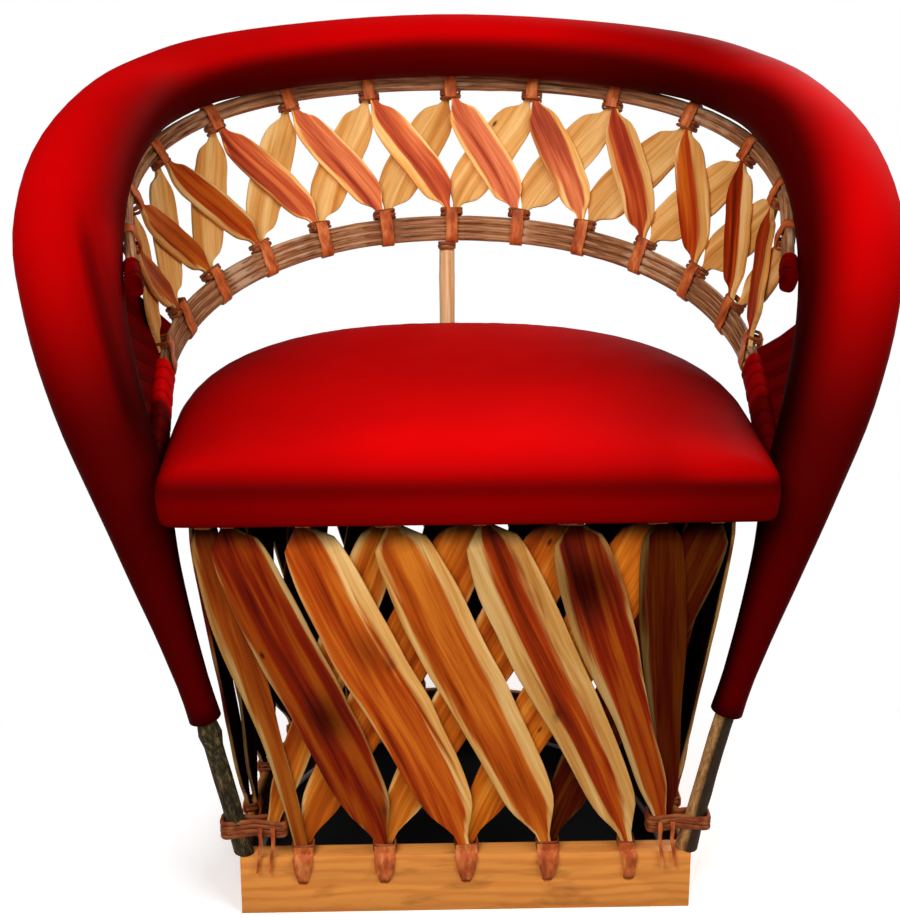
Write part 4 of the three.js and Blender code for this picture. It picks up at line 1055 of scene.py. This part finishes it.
def bind_all(name, wall, top, bar, splints, width, seed):
    """Tie every place along a bar where splints meet. The corners are lashed instead."""
    ties = {splint.upper_tie if top else splint.lower_tie for splint in splints}
    for index, tie in enumerate(sorted(ties - {-CORNER_TIE, CORNER_TIE})):
        meeting = [splint for splint in splints if (splint.upper_tie if top else splint.lower_tie) == tie]
        bind(f"{name}_tie_{index + 1}", wall, tie, top, bar, meeting, width, seed + index)


RING_BAR = RING_RADIUS, RING_NEAR, RING_RADIUS, False
BOARD_BAR = BOARD_THICKNESS / 2, STRAP_ROOM, 0.0240, True
BAND_BAR = BAND_THICKNESS / 2, STRAP_ROOM, 0.0205, True
UPPER_BAR = STRAND_RADIUS, UPPER_NEAR, UPPER_NEAR - FIT, False
LOWER_BAR = STRAND_RADIUS, LOWER_NEAR, LOWER_NEAR - FIT, False
ROUND_STRAP, FLAT_STRAP = 0.012, 0.0085
bind_all("front_ring", front_wall, True, RING_BAR, front_splints, ROUND_STRAP, 60)
bind_all("plank", front_wall, False, BOARD_BAR, front_splints, FLAT_STRAP, 70)
bind_all("band", rear_wall, False, BAND_BAR, rear_splints, FLAT_STRAP, 80)
bind_all("rear_ring", rear_wall, True, RING_BAR, rear_splints, ROUND_STRAP, 95)
bind_all("upper_hoop", back_wall, True, UPPER_BAR, back_splints, ROUND_STRAP, 110)
bind_all("lower_hoop", back_wall, False, LOWER_BAR, back_splints, ROUND_STRAP, 130)

# The strut is tied to the lower hoop by two turns just under its head.
pieces = []
for step in range(2):
    at = strut_head - strut_heading * (0.0020 + 0.0030 * step)
    snug = strut_radius * 1.02
    pieces.append(lay_turn(at, strut_side, strut_up, strut_heading, snug, snug, 145 + step, 0.0034, 0.0016))
join(pieces, "strut_tie", rawhide)

# Corner lashings: hide wound round each foot of the pole and the tips of the corner
# splints beside it, with its loose ends hanging down.
for side, index in ((-1, 1), (1, 2)):
    low, high = (Vector(corner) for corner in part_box(f"corner_lashing_{index}"))
    centre, size = (low + high) / 2, high - low
    pieces = []
    for step in range(5):
        at = Vector((centre.x, centre.y, low.z + size.z * (step + 0.5) / 5))
        pieces.append(lay_turn(
            at, Vector((1, 0, 0)), Vector((0, 1, 0)), UP, size.x / 2 - 0.0012, size.y / 2 - 0.0012,
            150 + index * 10 + step, 0.0046, 0.0028, 0.62 - 0.05 * (step % 2),
        ))
    for step in range(2):
        start = Vector((centre.x - side * (0.006 + 0.011 * step), low.y + 0.0008, centre.z))
        points = [start + Vector((0, -0.0012, 0.004)), start + Vector((0, -0.0014, -0.004))]
        for fall in (0, 0.25, 0.5, 0.75, 1):
            points.append(start + Vector((side * 0.004 * fall, 0.0016 * sin(fall * 3), -0.012 - 0.030 * fall)))
        pieces.append(lay_strip(points, (0.004, 0.0035, 0.003, 0.0022), Vector((1, 0, 0)), 170 + index + step))
    join(pieces, f"corner_lashing_{index}_hide", rawhide)
    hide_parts(f"corner_lashing_{index}")

# Seat board: a plain sawn board under the cushion, which rests on the seat ring.
seat_low, seat_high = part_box("seat_board")
board_plan = seat_outline(SKIRT_THICKNESS + 0.0003)
bpy.ops.mesh.primitive_circle_add(vertices=len(board_plan), radius=0.2, fill_type="NGON", location=(0, 0, seat_low[2]))
seat_board = bpy.context.object
place(seat_board)
for vertex, point in zip(seat_board.data.vertices, board_plan):
    vertex.co = Vector((point.x, point.y, seat_low[2]))
pick(seat_board, lambda mesh, face: True, "polygons", "FACE")
bpy.ops.mesh.extrude_region_move(TRANSFORM_OT_translate={"value": (0, 0, seat_high[2] - seat_low[2])})
bpy.ops.mesh.select_all(action="SELECT")
bpy.ops.mesh.normals_make_consistent(inside=False)
finish_edit()
bevel(seat_board, 0.0012, 2, 50)
fix(seat_board, "seat_board_sawn", pine, ["seat_board"])

# Rim pole: one long sapling bent into the arms and the back. Its left foot keeps a
# dark rough bark and its right foot is peeled, its outer half painted nearly black as
# shade; the rest is inside the padding.
RIM_SHARES = (
    (0.628, 0.004, 0.212, 0.270, 0.270),
    (0.658, -0.003, 0.279, 0.270, 0.270),
    (0.715, -0.010, 0.388, 0.345, 0.345),
    (0.767, -0.006, 0.481, 0.480, 0.480),
    (0.811, 0.008, 0.566, 0.650, 0.640),
    (0.890, 0.073, 0.665, 0.790, 0.730),
    (0.962, 0.198, 0.757, 0.900, 0.730),
    (1.000, 0.344, 0.835, 1.000, 0.720),
    (0.988, 0.521, 0.900, 0.980, 0.700),
    (0.913, 0.698, 0.944, 0.900, 0.660),
    (0.825, 0.810, 0.962, 0.840, 0.630),
    (0.692, 0.892, 0.978, 0.790, 0.600),
    (0.378, 0.971, 0.993, 0.750, 0.585),
    (0, 1, 1, 0.750, 0.583),
)
BARE_ROWS, POLE_RADIUS = 2, 0.009
rim_foot = Vector((BOARD_LENGTH / 2 - 0.003, BOARD_THICKNESS / 2 - DEPTH_SHIFT, BOARD_HEIGHT + 0.0003))
rim_rows = [(rim_foot, Vector((0.270, 0.270, 0)) * PAD_HALF_WIDTH)]
for across, back, up, wide, high in RIM_SHARES:
    spot = Vector((RIM_HALF_WIDTH * across, RIM_BACK_Y * back - DEPTH_SHIFT, RIM_BACK_HEIGHT * up))
    rim_rows.append((spot, Vector((wide, high, 0)) * PAD_HALF_WIDTH))
rim_rows = [(Vector((-at.x, at.y, at.z)), pad) for at, pad in rim_rows] + rim_rows[-2::-1]
rim_course = Course([at for at, pad in rim_rows])
pad_course = Course([pad for at, pad in rim_rows])
RIM_SPANS = len(rim_rows) - 1


def rim_station(row):
    """A place on the pole with its outward and upward directions and the padding's sizes."""
    share = row / RIM_SPANS
    at = rim_course.spot(share)
    if row in (0, RIM_SPANS):
        tangent = Vector((0, 0, -1 if row else 1))
    else:
        ahead, back = rim_course.spot(min(share + 0.0001, 1)), rim_course.spot(max(share - 0.0001, 0))
        tangent = (ahead - back).normalized()
    outline = Vector((at.x, at.y + DEPTH_SHIFT - 0.120, 0))
    out = (outline - tangent * outline.dot(tangent)).normalized()
    return at, tangent, out, tangent.cross(out).normalized(), pad_course.spot(share)


pole_bark, add, grain = grained("rough_pole_bark")
streak = drawn_out(add, grain, (260, 260, 90), 7, 0.75)
rough_tones = (0.40, (0.007, 0.005, 0.002)), (0.66, (0.27, 0.18, 0.065)), (0.53, (0.055, 0.038, 0.013))
peel_tones = (0.30, (0.16, 0.05, 0.012)), (0.60, (0.72, 0.38, 0.13)), (0.45, (0.44, 0.20, 0.065))
# Painted shade: the outer half of the peeled foot is darkened nearly to black.
shaded_outer_half = ranged(add, add("SeparateXYZ", {0: grain}).outputs["X"], -0.001, 0.003, 1.0, 0.06)
peel = dimmed(add, tones(add, streak, *peel_tones), shaded_outer_half)
sideways = add("SeparateXYZ", {0: add("TexCoord").outputs["Object"]}).outputs["X"]
skin = blend(add, ranged(add, sideways, -0.05, 0.05), tones(add, streak, *rough_tones), peel)
surface(add, skin, (streak, 0.5, 0.9), (streak, 0.8, 0.003))


def pole_station(share):
    at, _, out, up, _ = rim_station(share * RIM_SPANS)
    return at, out, up


pole = shoot(rim_course.length, POLE_RADIUS * 0.97, 16, 400)
lay_shoot(pole, pole_station, rim_course.length, POLE_RADIUS, 52, 0.14)
fix(pole, "rim_pole_sapling", pole_bark, ["rim_pole"], 60)

# Padded roll: foam wound on the pole and covered with red leather that is drawn
# tight, closed on the inner side and nipped in where it ends above the feet.
leather, add = node_material("red_leather")
spot = add("TexCoord").outputs["Object"]
shade = add("Attribute", attribute_name="shade").outputs["Fac"]
pores = add("TexVoronoi", {"Vector": spot, "Scale": 700.0}, feature="DISTANCE_TO_EDGE")
creases = add("TexNoise", {"Vector": spot, "Scale": 34.0, "Detail": 6, "Roughness": 0.6}).outputs["Fac"]
cloud = add("TexNoise", {"Vector": spot, "Scale": 7.0, "Detail": 3}).outputs["Fac"]
reds = tones(add, cloud, (0.3, (0.66, 0.0, 0.0006)), (0.7, (0.80, 0.0, 0.0008)))
height = calc(add, "ADD", pores.outputs["Distance"], creases)
surface(add, dimmed(add, reds, shade), (creases, 0.52, 0.72), (height, 0.12, 0.001), 0.01)

# Its shade is painted for each point: the inner side of the arms and the legs get painted
# deep shade, the top of the back is painted darker, and the left arm has one painted dark
# fold with a painted highlight on a ridge beside it.
roll = shoot(1, 1, 56, 300)
shades = []
for vertex in roll.data.vertices:
    share = min(max(vertex.co.z, 0.0), 1.0)
    row = BARE_ROWS + share * (RIM_SPANS - 2 * BARE_ROWS)
    at, _, out, up, pad = rim_station(row)
    x, y = vertex.co.x, vertex.co.y
    end = min(share, 1 - share) * rim_course.length
    cuff = 1 + 0.10 * (1 - between(end, 0.010, 0.035))
    fullness = 1 + 0.012 * rough((x * 1.2, y * 1.2, share * 26), 7, 1)
    vertex.co = at + out * (x * pad.x * fullness * cuff) + up * (y * pad.y * fullness * cuff)
    bulge = out * (0.9 * max(0.0, -x)) + up * max(0.0, -y)
    vertex.co -= bulge * (0.0050 * between(at.y, -0.12, 0.06))
    back, right = between(at.y, 0.05, 0.20), between(at.x, -0.20, 0.25)
    start = (-0.80 + 0.22 * right) * (1 - back) + (0.23 - 0.13 * right) * back
    stop = (0.90 - 0.55 * right) * (1 - back) + 0.82 * back
    inner = between(-x * 0.75 - y * (0.45 + 0.25 * back), start, stop)
    low_leg = between(vertex.co.z, 0.45, 0.64)
    fold = (vertex.co.x + 0.315 - 0.367 * (0.575 - vertex.co.z)) / 0.0075
    reach = between(vertex.co.z, 0.44, 0.48) * (1 - between(vertex.co.z, 0.58, 0.62)) * (vertex.co.y < at.y)
    ridge_highlight = max(0.0, 1 - ((fold - 2.7) / 1.3) ** 2) * reach
    fold = max(0.0, 1 - fold * fold) * reach
    # How much the top of the back is darkened, as painted shade, more towards the right.
    top = 0.12 + 0.18 * between(-at.x, -0.05, 0.30) + 0.42 * between(at.x, 0.06, 0.25)
    shade = (1 - (0.90 - 0.07 * back) * inner) * (0.12 + 0.88 * low_leg) * (1 - top * back)
    shades.append(shade * (1 - 0.6 * fold) * (1 + 0.8 * ridge_highlight))
note_shade(roll, "shade", shades)
fix(roll, "arm_roll_leather", leather, ["arm_roll"], 180)

# Arm laces: leather strips wound round the ends of the hoops and drawn up to the
# roll, which hide the bare ends and close the gap between hoop and arm.


def sleeve(course, pitch, top, ends, half_out, half_up, side, bright, seed):
    """A winding of leather round a hoop's end, between two shares of its length, with painted shade darker between its
    turns and towards the hoop's end.
    """
    low, high = ends
    piece = shoot(1, 1, 24, 60)
    turns = (high - low) * course.length / 0.019
    shades = []
    for vertex in piece.data.vertices:
        part = min(max(vertex.co.z, 0.0), 1.0)
        share = low + (high - low) * part
        at, out, up = hoop_station(course, pitch, top, share if side < 0 else 1 - share)
        cosine, sine = vertex.co.x, vertex.co.y
        winding = part * turns + atan2(sine, cosine) / 6.3 + 0.1 * rough((part * 7, 0, 0), seed, 1)
        wound = min(abs(sin(pi * winding)) * 2.2, 1.0)
        grow = 0.0007 * wound + 0.0006 * rough((cosine, sine, part * 9), seed, 1)
        x = copysign(abs(cosine) ** 0.7, cosine) * (half_out + grow)
        y = copysign(abs(sine) ** 0.7, sine) * (half_up + grow)
        vertex.co = at + out * x + up * y
        # Painted shade: darker between the turns and near the hoop's end, up to the bright level further along.
        shades.append((0.45 + 0.55 * wound) * (0.16 + (bright - 0.16) * between(part, 0.55, 0.68)))
    note_shade(piece, "shade", shades)
    note(piece, "grain", [vertex.co for vertex in piece.data.vertices])
    return piece


def roll_point(spot):
    """The place on the roll that is nearest to a point beside it."""
    rows = (3 + step * 0.05 for step in range(140))
    best = min(rows, key=lambda row: (rim_station(row)[0] - spot).length)
    at, _, out, up, pad = rim_station(best)
    away = spot - at
    x, y = away.dot(out), away.dot(up)
    return at + (out * x + up * y) / sqrt((x / pad.x) ** 2 + (y / pad.y) ** 2)


SLEEVE_OUT, SLEEVE_UP = STRAND_RADIUS + 0.0022, STRAND_RADIUS + 0.0018
lower_tie = 0.5 - (BACK_TIES - 1) / 2 * LOWER_PITCH / lower_course.length
for side, word, lace_count, bright in ((-1, "left", 18, 1.0), (1, "right", 14, 0.45)):
    upper_ends, lower_ends = (-0.002, 0.024), (-0.002, lower_tie - 0.010)
    upper_up, lower_up = STRAND_STEP / 2 + SLEEVE_UP, STRAND_STEP + SLEEVE_UP
    pieces = [
        sleeve(upper_course, UPPER_PITCH, True, upper_ends, SLEEVE_OUT, upper_up, side, 0.25, 61),
        sleeve(lower_course, LOWER_PITCH, False, lower_ends, SLEEVE_OUT, lower_up, side, bright, 62),
    ]
    for step in range(lace_count):
        share = 0.012 + step * 0.0105
        at = hoop_station(lower_course, LOWER_PITCH, False, share if side < 0 else 1 - share)[0]
        mirror = Vector((-abs(at.x), at.y, at.z))
        goal = roll_point(mirror)
        goal = Vector((goal.x * -side, goal.y, goal.z))
        reach = goal - at
        start = at + reach.normalized() * 0.003
        end = goal + reach.normalized() * 0.004
        sag = Vector((0, -0.001 - 0.0012 * (step % 2), -0.002))
        heading = lower_course.heading(share if side < 0 else 1 - share)
        points = [start, start.lerp(end, 0.33) + sag, start.lerp(end, 0.67) + sag, end]
        lace = lay_strip(points, (0.013, 0.0135, 0.015, 0.017), heading, 210 + step)
        # The laces get a low painted-shade level, alternating a little from lace to lace.
        note_shade(lace, "shade", [0.13 + 0.05 * (step % 2)] * len(lace.data.vertices))
        pieces.append(lace)
    join(pieces, f"arm_laces_{word}", leather)
bpy.data.objects.remove(strip)
bpy.data.objects.remove(turn)

# Seat cushion: foam on the seat board under one sheet of the same leather, which
# is pulled down over the edge and hangs as a short skirt.
cushion = copy_of(bpy.data.objects["seat_cushion"])
pick(cushion, lambda mesh, edge: True)
bpy.ops.mesh.select_all(action="SELECT")
bpy.ops.mesh.remove_doubles(threshold=0.00005)
bpy.ops.mesh.normals_make_consistent(inside=False)
finish_edit()
modify(cushion, "REMESH", mode="VOXEL", voxel_size=0.005)
modify(cushion, "SMOOTH", factor=0.5, iterations=6)
SWELL_FRAMES, SWELL_LIMIT = 20, 0.006
starts = []
held = cushion.vertex_groups.new(name="tacked_edge")
for vertex in cushion.data.vertices:
    vertex.co.z -= 0.003 * between(vertex.co.z, 0.440, 0.452)
    starts.append(vertex.co.copy())
    held.add([vertex.index], 1 - between(vertex.co.z, 0.432, 0.442), "REPLACE")
alone(cushion)
cloth = cushion.modifiers.new("swell", "CLOTH")
cloth.settings.use_pressure = True
cloth.settings.uniform_pressure_force = 4
cloth.settings.effector_weights.gravity = 0
cloth.settings.vertex_group_mass = "tacked_edge"
cloth.point_cache.frame_start, cloth.point_cache.frame_end = 1, SWELL_FRAMES
for moment in range(1, SWELL_FRAMES + 1):
    bpy.context.scene.frame_set(moment)
bpy.ops.object.modifier_apply(modifier=cloth.name)
bpy.context.scene.frame_set(1)
for vertex, start in zip(cushion.data.vertices, starts):
    step = vertex.co - start
    if step.length > SWELL_LIMIT:
        vertex.co = start + step * (SWELL_LIMIT / step.length)
modify(cushion, "SUBSURF", levels=1, render_levels=1)
# Shade is painted into the cushion for each point: a lighter top, a painted dark crease along the edge, painted shade
# towards the back and the sides, more on the right, and a painted highlight along the front edge, strongest at the
# right corner.
shades = []
for vertex in cushion.data.vertices:
    x, y, z = vertex.co.x, vertex.co.y + DEPTH_SHIFT, vertex.co.z
    vertex.co.x *= 1.022
    vertex.co.z += 0.0055 * between(z, 0.430, 0.446) * between(y, 0.0, 0.15)
    vertex.co.z -= 0.007 * (1 - between(z, SKIRT_HEIGHT, 0.427))
    painted_top_light = between(z, 0.430, 0.450)
    painted_crease_shade = max(0.0, 1 - ((z - 0.428) / 0.012) ** 2)
    front = 1 - 0.25 * between(y, 0.0, 0.22)
    sides = 1 - 0.36 * between(abs(x), 0.05, 0.23) - 0.12 * between(x, 0.06, 0.22)
    edge = (1 - between(y, -0.03, 0.06)) * between(z, 0.425, 0.435)
    corner = (0.16 + 0.45 * between(x, 0.15, 0.20)) * edge
    shades.append((0.43 - 0.20 * painted_crease_shade + 0.64 * painted_top_light + corner) * front * sides)
note_shade(cushion, "shade", shades)
fix(cushion, "seat_cushion_leather", leather, ["seat_cushion"], 180)
